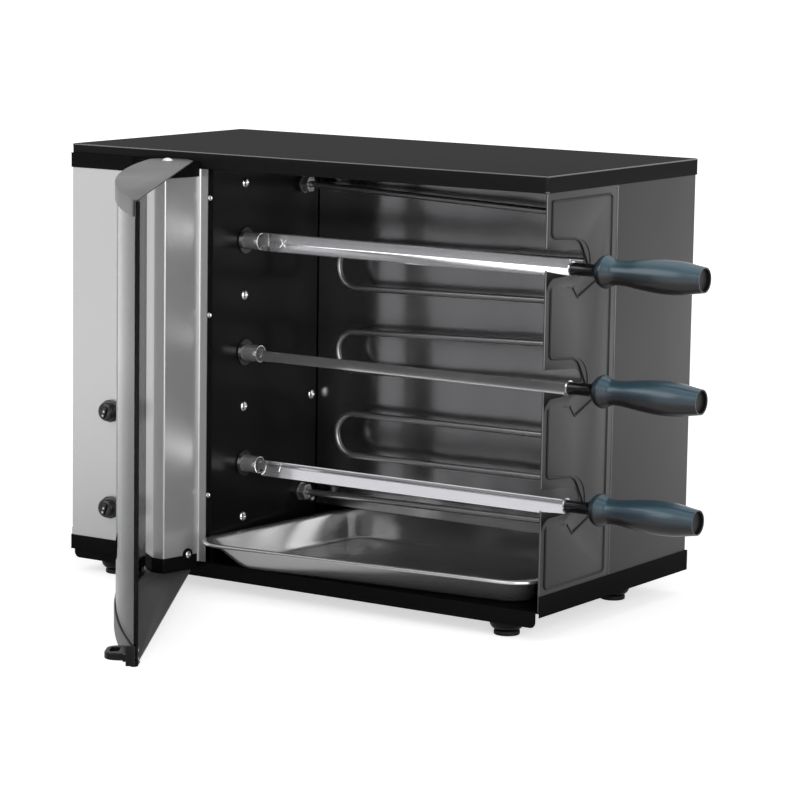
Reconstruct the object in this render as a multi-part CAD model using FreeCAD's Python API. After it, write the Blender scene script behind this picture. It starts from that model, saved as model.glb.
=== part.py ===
"""Electric rotisserie oven with three spits, built as separate named pieces.

Oven axes while modelling, in millimetres: X runs from the cabinet's left side to its right,
Y from the front plane of the cabinet to its back, Z up from the surface the feet stand on.
The door is built shut and then turned to its resting, half-open place. At the end every
piece is shifted together, so that the origin is at the bottom centre of the whole part's box.
"""
import FreeCAD
import Part
import math
import os

V = FreeCAD.Vector
X_AXIS = V(1, 0, 0)
Y_AXIS = V(0, 1, 0)
Z_AXIS = V(0, 0, 1)

# ---- sheet metal and clearances ----
SHEET = 1.0                  # painted cabinet sheet
FASCIA_SHEET = 0.8           # stainless fascia sheet
BEND_RADIUS = 1.2            # inner radius of a fascia bend
GAP = 0.3                    # between pieces that move past each other
RUNNING_FIT = 0.05           # radial, shaft in bore
HEAD_SIDES = 24              # flat sides of a screw head

# ---- cabinet ----
CABINET_WIDTH = 560.0
CABINET_DEPTH = 288.0
BODY_HEIGHT = 414.0          # skirt edge to the top of the cover
SKIRT_Z = 24.0               # skirt edge above the ground
SKIRT_HEIGHT = 20.0
LIP_DROP = 10.4              # front lip below the skirt edge
FLOOR_RISE = 5.0             # floor above the skirt edge
LIP_CORNER = 6.0
COVER_FLANGE = 16.0
COVER_CORNER = 3.5
COVER_EDGE = 1.6
WRAP_SEAM_Y = 131.0          # where the rear wrap meets the right front panel
DECK_GAP = 15.5              # top of the inner deck below the top of the cover

# ---- cavity ----
CAVITY_LEFT_X = 178.0
WALL_FLANGE_WIDTH = 12.0
WALL_FLANGE_LOW = 57.0
REFLECTOR_Y = 181.0
REFLECTOR_BOTTOM_Z = 64.0
WALL_REAR_GAP = 1.5

# ---- fascia, plan of its outer face ----
FASCIA_FRONT_Y = -2.0
RAMP_START_X = 80.0
POST_LEFT_X = 141.0
POST_RIGHT_X = 154.5
POST_FRONT_Y = -47.0
POST_FOOT_X = 163.0
FASCIA_END_X = 171.5
FASCIA_RETURN = 12.0
BAND_HEIGHT = 14.5
TOP_BAND_DROP = 9.2          # top of the upper band below the top of the cover
LOW_BAND_Z = 23.0
BAND_SEAT = 0.15             # between a band and the fascia it wraps
BAND_END_GAP = 3.0           # a band's end in front of the post's foot
TAB_RADIUS = 6.3
TAB_SETBACK = 15.0           # from the post's foot, along its right face

# ---- door, in its own directions: s along the chord from the pin, o outwards ----
PIN_X = 142.0
PIN_Y = -27.0
DOOR_OPEN_ANGLE = 59.5       # resting angle away from shut
DOOR_CLEARANCE = 2.0         # chord in front of the cabinet's front plane
DOOR_LENGTH = 416.0
DOOR_ARC_RADIUS = 1000.0
DOOR_ARC_CREST_S = 110.0
DOOR_ARC_CREST_O = 27.0
DOOR_HEEL_RADIUS = 25.0
DOOR_HEEL_S = -12.0
DOOR_PLATE = 1.2
TOP_FLANGE = 15.0
LOW_FLANGE = 18.0
GLASS_THICKNESS = 4.0
GLASS_SEAT = 0.3             # between the glass and the plates' flanges
GLASS_START_S = 20.0
GLASS_OVERRUN = 2.5          # glass past the plates' free end
PIN_RADIUS = 3.0
PIN_HEAD_RADIUS = 5.5

CLIP_HEIGHT = 15.0

# ---- door handle ----
HANDLE_LENGTH = 33.0
HANDLE_REACH = 25.0
HANDLE_ARM = 8.0
HANDLE_END = 4.5
HANDLE_CORNER = 11.0
HANDLE_HEIGHT = 6.5
HANDLE_Z = 26.7

# ---- spits and their drive ----
SPIT_Y = 54.0
SPIT_LOW_Z = 123.0
SPIT_PITCH = 112.5
TUBE_RADIUS = 8.5
TUBE_BORE = 7.5
TUBE_END_X = 198.0
TUBE_START_X = 147.0
BLADE_LEG = 13.0
TANG_LEG = 6.5
BLADE_SHEET = 1.0
TANG_LENGTH = 11.0
BLADE_END_GAP = 4.0          # blade's end inside the cabinet's right face
SLEEVE_RADIUS = 6.0
CORE_RADIUS = 4.0            # steel core that runs through the sleeve into the grip
FERRULE_REACH = 19.0         # outside the cabinet's right face
GRIP_REACH = 27.0
GRIP_LENGTH = 109.0
SPIT_SWING = 12.0            # degrees, seat to clear of the slot's mouth
SWING_RISE = 12.0            # rise of the sleeve on its way from the seat to the slot's mouth
SPIT_TURN = {"lower": 20.0, "middle": 92.0, "upper": -8.0}
SPIT_NAMES = ["lower", "middle", "upper"]

# ---- gear train ----
SPIT_TEETH = 22
IDLER_TEETH = 23
PINION_TEETH = 12
GEAR_WIDTH = 8.0
GEAR_X = 156.0
BACKLASH = 0.35
IDLER_PIN_RADIUS = 4.0
GEAR_PLATE_X = 149.0
GEAR_PLATE_SHEET = 1.5

# ---- slots in the right panel, measured from the spit axis ----
SLOT_MOUTH_LOW = 3.5
SLOT_MOUTH_HIGH = 22.8
SLOT_SEAT_DROP = 6.4
SLOT_SEAT_HALF = 6.4
SLOT_TOP = 18.2
SLOT_REAR = 16.5
FIELD_MARGIN = 10.0
FIELD_STEP = 0.8
NOTCH_DROP = 27.0
SLOT_LIP_REACH = 7.0
SLOT_LIP_DROP = 13.0

# ---- heating element ----
ELEMENT_Y = 155.0
ELEMENT_RADIUS = 3.25
ELEMENT_LEFT_X = 222.0
ELEMENT_RIGHT_X = 546.0
ELEMENT_LEFT_Z = [80.0, 124.0, 167.0, 211.0, 250.5, 295.5, 339.0, 398.0]
ELEMENT_RIGHT_Z = [84.0, 127.0, 169.0, 220.0, 262.0, 303.5, 344.0, 386.0]
NUT_FLATS = 15.0

# ---- drip pan ----
PAN_CLEARANCE = 0.8          # to the cavity's left wall, at the cabinet's front plane
PAN_RIGHT_CLEARANCE = 6.0
PAN_FRONT_Y = -40.0          # front edge of the rim at its left corner
PAN_REAR_Y = 226.0
PAN_FRONT_SKEW = 34.0        # rim's front edge runs back by this towards the right
PAN_LEFT_SKEW = 25.0         # rim's left edge runs in by this towards the back
PAN_RIM_Z = 57.0
PAN_CORNER = 32.0
PAN_RIMS = (5.0, 11.0, 6.0, 10.0)       # width of the rim: front, right, back, left
PAN_TAPERS = (28.0, 16.0, 20.0, 14.0)   # how far each wall runs in from mouth to floor
PAN_SHEET = 0.8

# ---- knobs ----
KNOB_X = 53.0
KNOB_ZS = {"rotation": 71.5, "heat": 170.5}
KNOB_RADIUS = 11.3
KNOB_GRIP_RADIUS = 9.0
KNOB_SKIRT = 3.0
KNOB_HEIGHT = 12.0
KNOB_SHAFT_RADIUS = 3.0

# ---- feet and cord inlet ----
FOOT_RADIUS = 12.5
FOOT_PAD = 4.5
FOOT_BOWL_RADIUS = 16.8
FOOT_INSET_X = 46.0
FOOT_FRONT_Y = 18.5
FOOT_REAR_Y = 219.0
GLAND_X = 70.0
GLAND_Z = 75.0
GLAND_BORE = 3.6

# ---- worked out from the values above ----
MODULE = SPIT_PITCH / (SPIT_TEETH + IDLER_TEETH)
BLADE_END_X = CABINET_WIDTH - BLADE_END_GAP
FERRULE_X = CABINET_WIDTH + FERRULE_REACH
GRIP_START_X = CABINET_WIDTH + GRIP_REACH
GLASS_END_S = DOOR_LENGTH + GLASS_OVERRUN
TOP_Z = SKIRT_Z + BODY_HEIGHT
FLOOR_Z = SKIRT_Z + FLOOR_RISE
DECK_Z = TOP_Z - DECK_GAP
INNER_RIGHT_X = CABINET_WIDTH - 2.0 * SHEET
CASE_TOP_Z = DECK_Z - SHEET
TOP_BAND_Z = TOP_Z - TOP_BAND_DROP
SPIT_ZS = {name: SPIT_LOW_Z + SPIT_PITCH * i for i, name in enumerate(SPIT_NAMES)}
IDLER_ZS = {"lower": SPIT_LOW_Z + 0.5 * SPIT_PITCH, "upper": SPIT_LOW_Z + 1.5 * SPIT_PITCH}
PINION_Y = SPIT_Y + 0.5 * MODULE * (SPIT_TEETH + PINION_TEETH)
MOTOR_RADIUS = PINION_Y - SPIT_Y - TUBE_RADIUS - 5.0
DOOR_CHORD_O = PIN_Y + DOOR_CLEARANCE
ARC_CENTRE = V(PIN_X + DOOR_ARC_CREST_S, PIN_Y + DOOR_ARC_RADIUS - DOOR_ARC_CREST_O, 0)
DOOR_TOP_Z = TOP_BAND_Z + 0.4 + DOOR_PLATE
DOOR_LOW_Z = LOW_BAND_Z - 0.4 - DOOR_PLATE
PAN_DEPTH = PAN_REAR_Y - PAN_FRONT_Y
PAN_LEFT_X = CAVITY_LEFT_X + PAN_CLEARANCE + PAN_LEFT_SKEW * PAN_FRONT_Y / PAN_DEPTH
PAN_RIGHT_X = INNER_RIGHT_X - PAN_RIGHT_CLEARANCE
PAN_PLAN = [(PAN_LEFT_X, PAN_FRONT_Y), (PAN_RIGHT_X, PAN_FRONT_Y + PAN_FRONT_SKEW),
            (PAN_RIGHT_X, PAN_REAR_Y), (PAN_LEFT_X + PAN_LEFT_SKEW, PAN_REAR_Y)]
SWING_PIVOT_X = TUBE_END_X - 2.0
NODES = {}


# ---- shape helpers ----
def box(low, high):
    """Return a box between two corners."""
    size = V(*high) - V(*low)
    return Part.makeBox(size.x, size.y, size.z, V(*low))


def rod(radius, start, end):
    """Return a cylinder between two points."""
    start, end = V(*start), V(*end)
    return Part.makeCylinder(radius, (end - start).Length, start, end - start)


def ring(outer, inner, start, end):
    """Return a straight tube between two points."""
    return rod(outer, start, end).cut(rod(inner, start, end))


def prism(points, z_low, z_high):
    """Return an upright prism over a closed plan outline."""
    corners = [V(x, y, z_low) for x, y in points]
    face = Part.Face(Part.makePolygon(corners + corners[:1]))
    return face.extrude(V(0, 0, z_high - z_low))


def fuse(shapes):
    """Return the union of several shapes, with no seams left between them."""
    whole = shapes[0]
    for shape in shapes[1:]:
        whole = whole.fuse(shape)
    return whole.removeSplitter()


def upright_edges(shape, keep):
    """Return the upright straight edges whose plan place passes a test."""
    found = []
    for edge in shape.Edges:
        ends = [vertex.Point for vertex in edge.Vertexes]
        if len(ends) == 2 and abs(ends[0].x - ends[1].x) + abs(ends[0].y - ends[1].y) < 1e-6:
            if keep(ends[0]):
                found.append(edge)
    return found


def offset_path(points, distance):
    """Return an open plan path moved sideways to its left, with mitred corners."""
    moved = []
    for i, (x, y) in enumerate(points):
        sides = []
        for a, b in ((i - 1, i), (i, i + 1)):
            if a >= 0 and b < len(points):
                run = V(points[b][0] - points[a][0], points[b][1] - points[a][1], 0).normalize()
                sides.append(V(-run.y, run.x, 0))
        normal = sides[0] if len(sides) == 1 else (sides[0] + sides[1]).normalize()
        reach = distance / normal.dot(sides[0])
        moved.append((x + normal.x * reach, y + normal.y * reach))
    return moved


def folded_sheet(points, thickness, z_low, z_high, bend):
    """Return an upright folded sheet whose outer face follows a plan path."""
    inner = offset_path(points, thickness)
    sheet = prism(points + inner[::-1], z_low, z_high)
    for outline, radius in ((points, bend + thickness), (inner, bend)):
        bends = [V(x, y, 0) for x, y in outline[1:-1]]
        edges = upright_edges(sheet, lambda p: any(V(p.x, p.y, 0).isEqual(b, 1e-4) for b in bends))
        sheet = sheet.makeFillet(radius, edges)
    return sheet


def rounded_outline(low, high, radius, z):
    """Return a closed wire: a rectangle in plan with round corners."""
    x0, y0 = low
    x1, y1 = high
    block = Part.makeBox(x1 - x0, y1 - y0, 1.0, V(x0, y0, z))
    block = block.makeFillet(radius, upright_edges(block, lambda p: True))
    faces = [face for face in block.Faces if face.CenterOfMass.z < z + 1e-6]
    return faces[0].OuterWire


def revolve_x(profile, x, y, z):
    """Return a solid of revolution about an axis along X through a point; profile is (x, r)."""
    points = [V(x + px, y, z + r) for px, r in profile]
    points = [V(points[0].x, y, z)] + points + [V(points[-1].x, y, z)]
    face = Part.Face(Part.makePolygon(points + points[:1]))
    return face.revolve(V(x, y, z), X_AXIS, 360)


def spline_profile(profile):
    """Return points along a smooth curve through a few (x, r) stations."""
    curve = Part.BSplineCurve()
    curve.interpolate([V(px, 0, r) for px, r in profile])
    return [(p.x, p.z) for p in curve.discretize(Number=4 * len(profile))]


def hex_nut(flats, start, end, bore):
    """Return a hexagonal nut along X with its flats upright."""
    start, end = V(*start), V(*end)
    corner = flats / math.sqrt(3.0)
    angles = [math.radians(60.0 * i) for i in range(7)]
    points = [start + V(0, corner * math.cos(a), corner * math.sin(a)) for a in angles]
    nut = Part.Face(Part.makePolygon(points)).extrude(end - start)
    return nut.cut(rod(bore, tuple(start), tuple(end)))


def bent_rod(points, bend_radii, radius):
    """Return a round rod of straight runs joined by tangent arcs."""
    points = [V(*p) for p in points]
    edges = []
    start = points[0]
    for i, bend in enumerate(bend_radii, start=1):
        before = (points[i - 1] - points[i]).normalize()
        after = (points[i + 1] - points[i]).normalize()
        half = 0.5 * before.getAngle(after)
        enter = points[i] + before * (bend / math.tan(half))
        leave = points[i] + after * (bend / math.tan(half))
        centre = points[i] + (before + after).normalize() * (bend / math.sin(half))
        crest = centre + (points[i] - centre).normalize() * bend
        edges.append(Part.LineSegment(start, enter).toShape())
        edges.append(Part.Arc(enter, crest, leave).toShape())
        start = leave
    edges.append(Part.LineSegment(start, points[-1]).toShape())
    path = Part.Wire(edges)
    section = Part.Wire(Part.makeCircle(radius, points[0], points[1] - points[0]))
    return path.makePipeShell([section], True, True)


# ---- cabinet ----
def make_base_pan():
    """Floor sheet with a front lip, side skirts and a rear skirt."""
    w, d = CABINET_WIDTH, CABINET_DEPTH
    floor = box((SHEET, 0, FLOOR_Z - SHEET), (w - SHEET, d - SHEET, FLOOR_Z))
    lip_low = SKIRT_Z - LIP_DROP
    lip = box((4.0, 0, lip_low), (w - 4.0, SHEET, FLOOR_Z))
    corners = [e for e in lip.Edges if abs(e.BoundBox.YLength - SHEET) < 1e-6
               and e.BoundBox.XLength < 1e-6 and e.BoundBox.ZMax < lip_low + 1e-6]
    lip = lip.makeFillet(LIP_CORNER, corners)
    rim = SKIRT_Z + SKIRT_HEIGHT
    left = box((0, SHEET, SKIRT_Z), (SHEET, d, rim))
    right = box((w - SHEET, SHEET, SKIRT_Z), (w, d, rim))
    rear = box((0, d - SHEET, SKIRT_Z), (w, d, rim))
    return fuse([floor, lip, left, right, rear])


def make_top_cover():
    """Lid with a flange all round, round corners and a soft upper edge."""
    w, d, low = CABINET_WIDTH, CABINET_DEPTH, TOP_Z - COVER_FLANGE
    outer = box((0, 0, low), (w, d, TOP_Z))
    outer = outer.makeFillet(COVER_CORNER, upright_edges(outer, lambda p: True))
    rim = [e for e in outer.Edges if e.BoundBox.ZMin > TOP_Z - 1e-6]
    outer = outer.makeFillet(COVER_EDGE, rim)
    inner = box((SHEET, SHEET, low - 1), (w - SHEET, d - SHEET, TOP_Z - SHEET))
    inner = inner.makeFillet(COVER_CORNER - SHEET, upright_edges(inner, lambda p: True))
    return outer.cut(inner)


def tuck_into_cover(panel):
    """Round a panel's upright edges in plan, so that it slides up inside the cover."""
    w, d = CABINET_WIDTH, CABINET_DEPTH
    inside = box((SHEET, SHEET, 0), (w - SHEET, d - SHEET, TOP_Z - SHEET - 0.5))
    return panel.common(inside.makeFillet(COVER_CORNER - SHEET + 0.2, upright_edges(inside, lambda p: True)))


def make_left_side_panel():
    """Plain outer side on the control side."""
    side = box((SHEET, SHEET, FLOOR_Z), (2 * SHEET, CABINET_DEPTH - 2 * SHEET - 0.2, TOP_Z - SHEET))
    return tuck_into_cover(side)


def make_rear_wrap_panel():
    """Back of the cabinet and the rear part of its right side, in one folded sheet."""
    low, high = FLOOR_Z, TOP_Z - SHEET
    back_y = CABINET_DEPTH - SHEET
    side_x = CABINET_WIDTH - SHEET
    path = [(side_x, WRAP_SEAM_Y), (side_x, back_y), (SHEET, back_y)]
    wrap = tuck_into_cover(folded_sheet(path, SHEET, low, high, 3.0))
    for column_x in (60.0, 110.0):
        for row in range(6):
            z = 300.0 + 14.0 * row
            wrap = wrap.cut(box((column_x - 18, back_y - 2 * SHEET, z), (column_x + 18, back_y + 1, z + 4)))
    hole = rod(gland_barrel_radius(), (GLAND_X, back_y - 5, GLAND_Z), (GLAND_X, back_y + 5, GLAND_Z))
    return wrap.cut(hole)


def slot_cutter(spit_z, margin):
    """Return the space of one spit slot, grown by a margin, as a prism along X."""
    low, high = spit_z + SLOT_MOUTH_LOW - margin, spit_z + SLOT_MOUTH_HIGH + margin
    seat = spit_z - SLOT_SEAT_DROP - margin
    top = spit_z + SLOT_TOP + margin
    rear = SPIT_Y + SLOT_REAR + margin
    seat_front = SPIT_Y - SLOT_SEAT_HALF - margin
    corner = rear - (SPIT_Y + 2.0)
    x0, x1 = INNER_RIGHT_X - 5.0, CABINET_WIDTH + 20.0
    at = lambda y, z: V(x0, y, z)
    edges = [
        Part.LineSegment(at(-5.0, high + 0.4), at(rear - corner, top)),
        Part.Arc(at(rear - corner, top),
                 at(rear - corner * (1 - math.sqrt(0.5)), top - corner * (1 - math.sqrt(0.5))),
                 at(rear, top - corner)),
        Part.LineSegment(at(rear, top - corner), at(rear, seat + 8.0)),
        Part.LineSegment(at(rear, seat + 8.0), at(rear - 8.0, seat)),
        Part.LineSegment(at(rear - 8.0, seat), at(seat_front, seat)),
        Part.LineSegment(at(seat_front, seat), at(-5.0, low)),
        Part.LineSegment(at(-5.0, low), at(-5.0, high + 0.4)),
    ]
    wire = Part.Wire([edge.toShape() for edge in edges])
    return Part.Face(wire).extrude(V(x1 - x0, 0, 0))


def notch_cutter(spit_z):
    """Return the V-shaped notch of the pressed field below one slot."""
    x0 = CABINET_WIDTH - SHEET
    places = [(SPIT_Y - 6.0, 0.0), (SPIT_Y + 4.0, -NOTCH_DROP), (SPIT_Y + 40.0, -0.5 * NOTCH_DROP), (SPIT_Y + 40.0, 0.0)]
    points = [V(x0, y, spit_z + dz) for y, dz in places]
    return Part.Face(Part.makePolygon(points + points[:1])).extrude(V(20.0, 0, 0))


def slot_lip(spit_z):
    """Return the rolled lip that leads a spit's sleeve along the lower edge of its slot."""
    x0 = CABINET_WIDTH - SHEET
    reach, drop = SLOT_LIP_REACH, SLOT_LIP_DROP
    y0, y1 = 3.0, SPIT_Y - SLOT_SEAT_HALF - 3.0
    z = spit_z - 4.0
    at = lambda dx, dz: V(x0 + dx, y0, z + dz)
    outer = Part.Arc(at(0, -drop), at(0.42 * reach, -0.42 * drop), at(reach, 0)).toShape()
    inner = Part.Arc(at(reach - 1.0, 0), at(0.42 * reach - 1.0, -0.42 * drop + 0.6), at(-0.5, -drop + 1.5)).toShape()
    rim = Part.LineSegment(at(reach, 0), at(reach - 1.0, 0)).toShape()
    foot = Part.LineSegment(at(-0.5, -drop + 1.5), at(0, -drop)).toShape()
    return Part.Face(Part.Wire([outer, rim, inner, foot])).extrude(V(0, y1 - y0, 0))


def make_right_front_panel():
    """Front part of the right side, with three open slots and a pressed field round them."""
    low, high = FLOOR_Z, TOP_Z - SHEET
    x0, x1 = INNER_RIGHT_X, CABINET_WIDTH - SHEET
    skin = tuck_into_cover(box((x0, SHEET, low), (x1, WRAP_SEAM_Y - 0.4, high)))
    hem = rod(SHEET, (x1 - SHEET, 2.0 * SHEET, low), (x1 - SHEET, 2.0 * SHEET, TOP_Z - COVER_FLANGE - 1.0))
    field_low = SKIRT_Z + SKIRT_HEIGHT + 6.0
    field_high = TOP_Z - COVER_FLANGE - 8.0
    field = box((x1, FIELD_MARGIN, field_low), (x1 + FIELD_STEP, WRAP_SEAM_Y - 12.0, field_high))
    for z in SPIT_ZS.values():
        field = field.cut(slot_cutter(z, FIELD_MARGIN)).cut(notch_cutter(z))
    panel = fuse([skin, hem, field])
    for name in SPIT_NAMES:
        panel = panel.cut(slot_cutter(SPIT_ZS[name], 0.0))
    return fuse([panel] + [slot_lip(SPIT_ZS[name]) for name in SPIT_NAMES])


def make_inner_deck():
    """Sheet above the cavity that ties the walls and the reflector together."""
    return box((2 * SHEET, 3.0, CASE_TOP_Z), (INNER_RIGHT_X, CABINET_DEPTH - 6.0, DECK_Z))


def make_cavity_left_wall():
    """Wall between the cavity and the drive, with a front flange turned to the fascia."""
    x0, x1 = CAVITY_LEFT_X - SHEET, CAVITY_LEFT_X
    wall = box((x0, 0, WALL_FLANGE_LOW), (x1, REFLECTOR_Y - WALL_REAR_GAP, CASE_TOP_Z))
    foot = box((x0, SHEET, FLOOR_Z), (x1, REFLECTOR_Y - WALL_REAR_GAP, WALL_FLANGE_LOW))
    flange = box((x1 - WALL_FLANGE_WIDTH, 0, WALL_FLANGE_LOW), (x1, SHEET, CASE_TOP_Z))
    wall = fuse([wall, foot, flange])
    for z in SPIT_ZS.values():
        wall = wall.cut(rod(bush_barrel_radius(), (x0 - 5, SPIT_Y, z), (x1 + 5, SPIT_Y, z)))
    for z in (ELEMENT_LEFT_Z[0], ELEMENT_LEFT_Z[-1]):
        wall = wall.cut(rod(ELEMENT_RADIUS + 0.4, (x0 - 5, ELEMENT_Y, z), (x1 + 5, ELEMENT_Y, z)))
    return wall


def make_rear_reflector():
    """Polished sheet behind the heating element, with a shelf that runs to the back."""
    y0 = REFLECTOR_Y
    face = box((CAVITY_LEFT_X, y0, REFLECTOR_BOTTOM_Z), (INNER_RIGHT_X, y0 + SHEET, CASE_TOP_Z))
    low = REFLECTOR_BOTTOM_Z
    shelf = box((CAVITY_LEFT_X, y0, low), (INNER_RIGHT_X, CABINET_DEPTH - 6.0, low + SHEET))
    return fuse([face, shelf])


# ---- fascia and its bands ----
def fascia_path():
    """Return the plan path of the fascia's outer face, left to right."""
    return [(2 * SHEET, FASCIA_RETURN), (2 * SHEET, FASCIA_FRONT_Y), (RAMP_START_X, FASCIA_FRONT_Y),
            (POST_LEFT_X, POST_FRONT_Y), (POST_RIGHT_X, POST_FRONT_Y),
            (POST_FOOT_X, -FASCIA_SHEET), (FASCIA_END_X, -FASCIA_SHEET)]


def make_control_fascia():
    """Stainless fascia, folded out to the hinge post and back to the cavity."""
    fascia = folded_sheet(fascia_path(), FASCIA_SHEET, FLOOR_Z + 0.5, TOP_Z - COVER_FLANGE - 0.5, BEND_RADIUS)
    for z in KNOB_ZS.values():
        hole = rod(KNOB_SHAFT_RADIUS + 0.6, (KNOB_X, FASCIA_FRONT_Y - 5, z), (KNOB_X, FASCIA_FRONT_Y + 5, z))
        fascia = fascia.cut(hole)
    return fascia


def band_path():
    """Return the plan path of a band's outer face."""
    inner = [(2 * SHEET, -GAP)] + fascia_path()[1:-2] + [post_point(post_depth() - BAND_END_GAP)]
    return offset_path(inner, -SHEET - BAND_SEAT)


def post_depth():
    """Return the length of the post's right face in plan."""
    return math.hypot(POST_FOOT_X - POST_RIGHT_X, POST_FRONT_Y + FASCIA_SHEET)


def post_point(along):
    """Return a plan point on the post's right face, measured from its front corner."""
    corner = V(POST_RIGHT_X, POST_FRONT_Y, 0)
    run = (V(POST_FOOT_X, -FASCIA_SHEET, 0) - corner).normalize()
    point = corner + run * along
    return (point.x, point.y)


def make_band(z_low, cap_z):
    """Return a band folded round the fascia's end, closed by a cap that holds a hinge pin."""
    path = band_path()
    wall = folded_sheet(path, SHEET, z_low, z_low + BAND_HEIGHT, BEND_RADIUS)
    inner = offset_path(path, 0.5 * SHEET)
    outline = [inner[0]] + inner[1:] + [(POST_FOOT_X - 1.0, -GAP), (2 * SHEET, -GAP)]
    cap = prism(outline, cap_z, cap_z + SHEET)
    band = fuse([wall, cap])
    return band.cut(rod(PIN_RADIUS + RUNNING_FIT, (PIN_X, PIN_Y, cap_z - 5), (PIN_X, PIN_Y, cap_z + 5)))


def make_fascia_low_band():
    """Lower band, with a round tab on the post's right face."""
    band = make_band(LOW_BAND_Z, LOW_BAND_Z)
    inner, outer = tab_centre(BAND_SEAT), tab_centre(BAND_SEAT + SHEET)
    return fuse([band, rod(TAB_RADIUS, tuple(inner), tuple(outer))])


def post_outward():
    """Return the outward normal of the post's right face."""
    run = (V(POST_FOOT_X, -FASCIA_SHEET, 0) - V(POST_RIGHT_X, POST_FRONT_Y, 0)).normalize()
    return V(run.y, -run.x, 0)


def tab_centre(height):
    """Return the centre of the lower band's tab, at a height over the post's right face."""
    x, y = post_point(post_depth() - TAB_SETBACK)
    return V(x, y, LOW_BAND_Z + BAND_HEIGHT + 0.5) + post_outward() * height


# ---- door ----
def arc_o(s):
    """Return how far out the door's outer face is, at a place along its chord."""
    return DOOR_ARC_CREST_O - (DOOR_ARC_RADIUS - math.sqrt(DOOR_ARC_RADIUS ** 2 - (s - DOOR_ARC_CREST_S) ** 2))


def door_point(s, o, z=0.0):
    """Return a point of the shut door in oven axes."""
    return V(PIN_X + s, PIN_Y - o, z)


def open_door(shape):
    """Turn a piece of the shut door to the door's resting angle."""
    turned = shape.copy()
    turned.rotate(V(PIN_X, PIN_Y, 0), Z_AXIS, -DOOR_OPEN_ANGLE)
    return turned


def door_plate(z_low):
    """Return the flat of a door plate: chord, free end, outer arc and round heel."""
    chord = DOOR_CHORD_O
    points = [door_point(0, chord, z_low), door_point(DOOR_LENGTH, chord, z_low),
              door_point(DOOR_LENGTH, arc_o(DOOR_LENGTH), z_low)]
    heel = door_point(DOOR_HEEL_S, arc_o(DOOR_HEEL_S), z_low)
    middle = 0.5 * (DOOR_LENGTH + DOOR_HEEL_S)
    back = DOOR_HEEL_RADIUS * math.sqrt(0.5)
    edges = [
        Part.LineSegment(points[0], points[1]),
        Part.LineSegment(points[1], points[2]),
        Part.Arc(points[2], door_point(middle, arc_o(middle), z_low), heel),
        Part.Arc(heel, door_point(-back - 5.0, 0.2 * back, z_low), door_point(-back, -back, z_low)),
        Part.Arc(door_point(-back, -back, z_low), door_point(-0.5 * back, -0.92 * back - 5.0, z_low), points[0]),
    ]
    wire = Part.Wire([edge.toShape() for edge in edges])
    plate = Part.Face(wire).extrude(V(0, 0, DOOR_PLATE))
    return plate.cut(rod(PIN_RADIUS, (PIN_X, PIN_Y, z_low - 5), (PIN_X, PIN_Y, z_low + 5)))


def arc_wall(s_start, s_end, depth, thickness, z_low, z_high):
    """Return an upright wall along the door's arc, its outer face a depth inside the plate's edge."""
    outer_radius = DOOR_ARC_RADIUS - depth
    centre = (ARC_CENTRE.x, ARC_CENTRE.y)
    wall = ring(outer_radius, outer_radius - thickness, centre + (z_low,), centre + (z_high,))
    window = box((PIN_X + s_start, PIN_Y - 60, z_low - 1), (PIN_X + s_end, PIN_Y + 40, z_high + 1))
    return wall.common(window)


def make_door_top_plate():
    """Upper door plate with its flange turned down along the arc."""
    z = DOOR_TOP_Z - DOOR_PLATE
    flange = arc_wall(GLASS_START_S, DOOR_LENGTH, 0.0, DOOR_PLATE, DOOR_TOP_Z - TOP_FLANGE, DOOR_TOP_Z)
    return open_door(fuse([door_plate(z), flange]))


def make_door_low_plate():
    """Lower door plate with its flange turned up and a drilled tab at its tip."""
    z = DOOR_LOW_Z
    flange = arc_wall(GLASS_START_S, DOOR_LENGTH, 0.0, DOOR_PLATE, z, z + LOW_FLANGE)
    tab_s, tab_o = DOOR_LENGTH - 14.0, DOOR_CHORD_O
    tab = rod(5.0, tuple(door_point(tab_s, tab_o, z)), tuple(door_point(tab_s, tab_o, z + DOOR_PLATE)))
    tab = tab.common(box((0, PIN_Y, 0), (CABINET_WIDTH * 2, -0.5, TOP_Z)))
    plate = fuse([door_plate(z), flange, tab])
    hole = rod(1.6, tuple(door_point(tab_s, tab_o + 1.6, z - 1)), tuple(door_point(tab_s, tab_o + 1.6, z + 5)))
    return open_door(plate.cut(hole))


def make_door_glass():
    """Curved smoked glass between the two plates."""
    low = DOOR_LOW_Z + DOOR_PLATE
    high = DOOR_TOP_Z - DOOR_PLATE
    glass = arc_wall(GLASS_START_S, GLASS_END_S, DOOR_PLATE + GLASS_SEAT, GLASS_THICKNESS, low, high)
    return open_door(glass)


def make_glass_clips():
    """Two clips under the upper plate; the one at the free edge laps round the glass's end."""
    high = DOOR_TOP_Z - DOOR_PLATE
    low = high - CLIP_HEIGHT
    depth = DOOR_PLATE + 2.0 * GLASS_SEAT + GLASS_THICKNESS
    inner = arc_wall(DOOR_LENGTH - 8.0, GLASS_END_S + 3.0, depth, 1.5, low, high)
    end = arc_wall(GLASS_END_S + GLASS_SEAT, GLASS_END_S + 3.0, DOOR_PLATE, depth, low, high)
    hinge_side = arc_wall(GLASS_START_S + 2.0, GLASS_START_S + 10.0, depth, 1.5, low, high)
    front = box((0, PIN_Y - 60, 0), (CABINET_WIDTH * 2, PIN_Y - DOOR_CHORD_O - 0.5, TOP_Z))
    return open_door(Part.makeCompound([fuse([inner, end]).common(front), hinge_side]))


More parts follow.
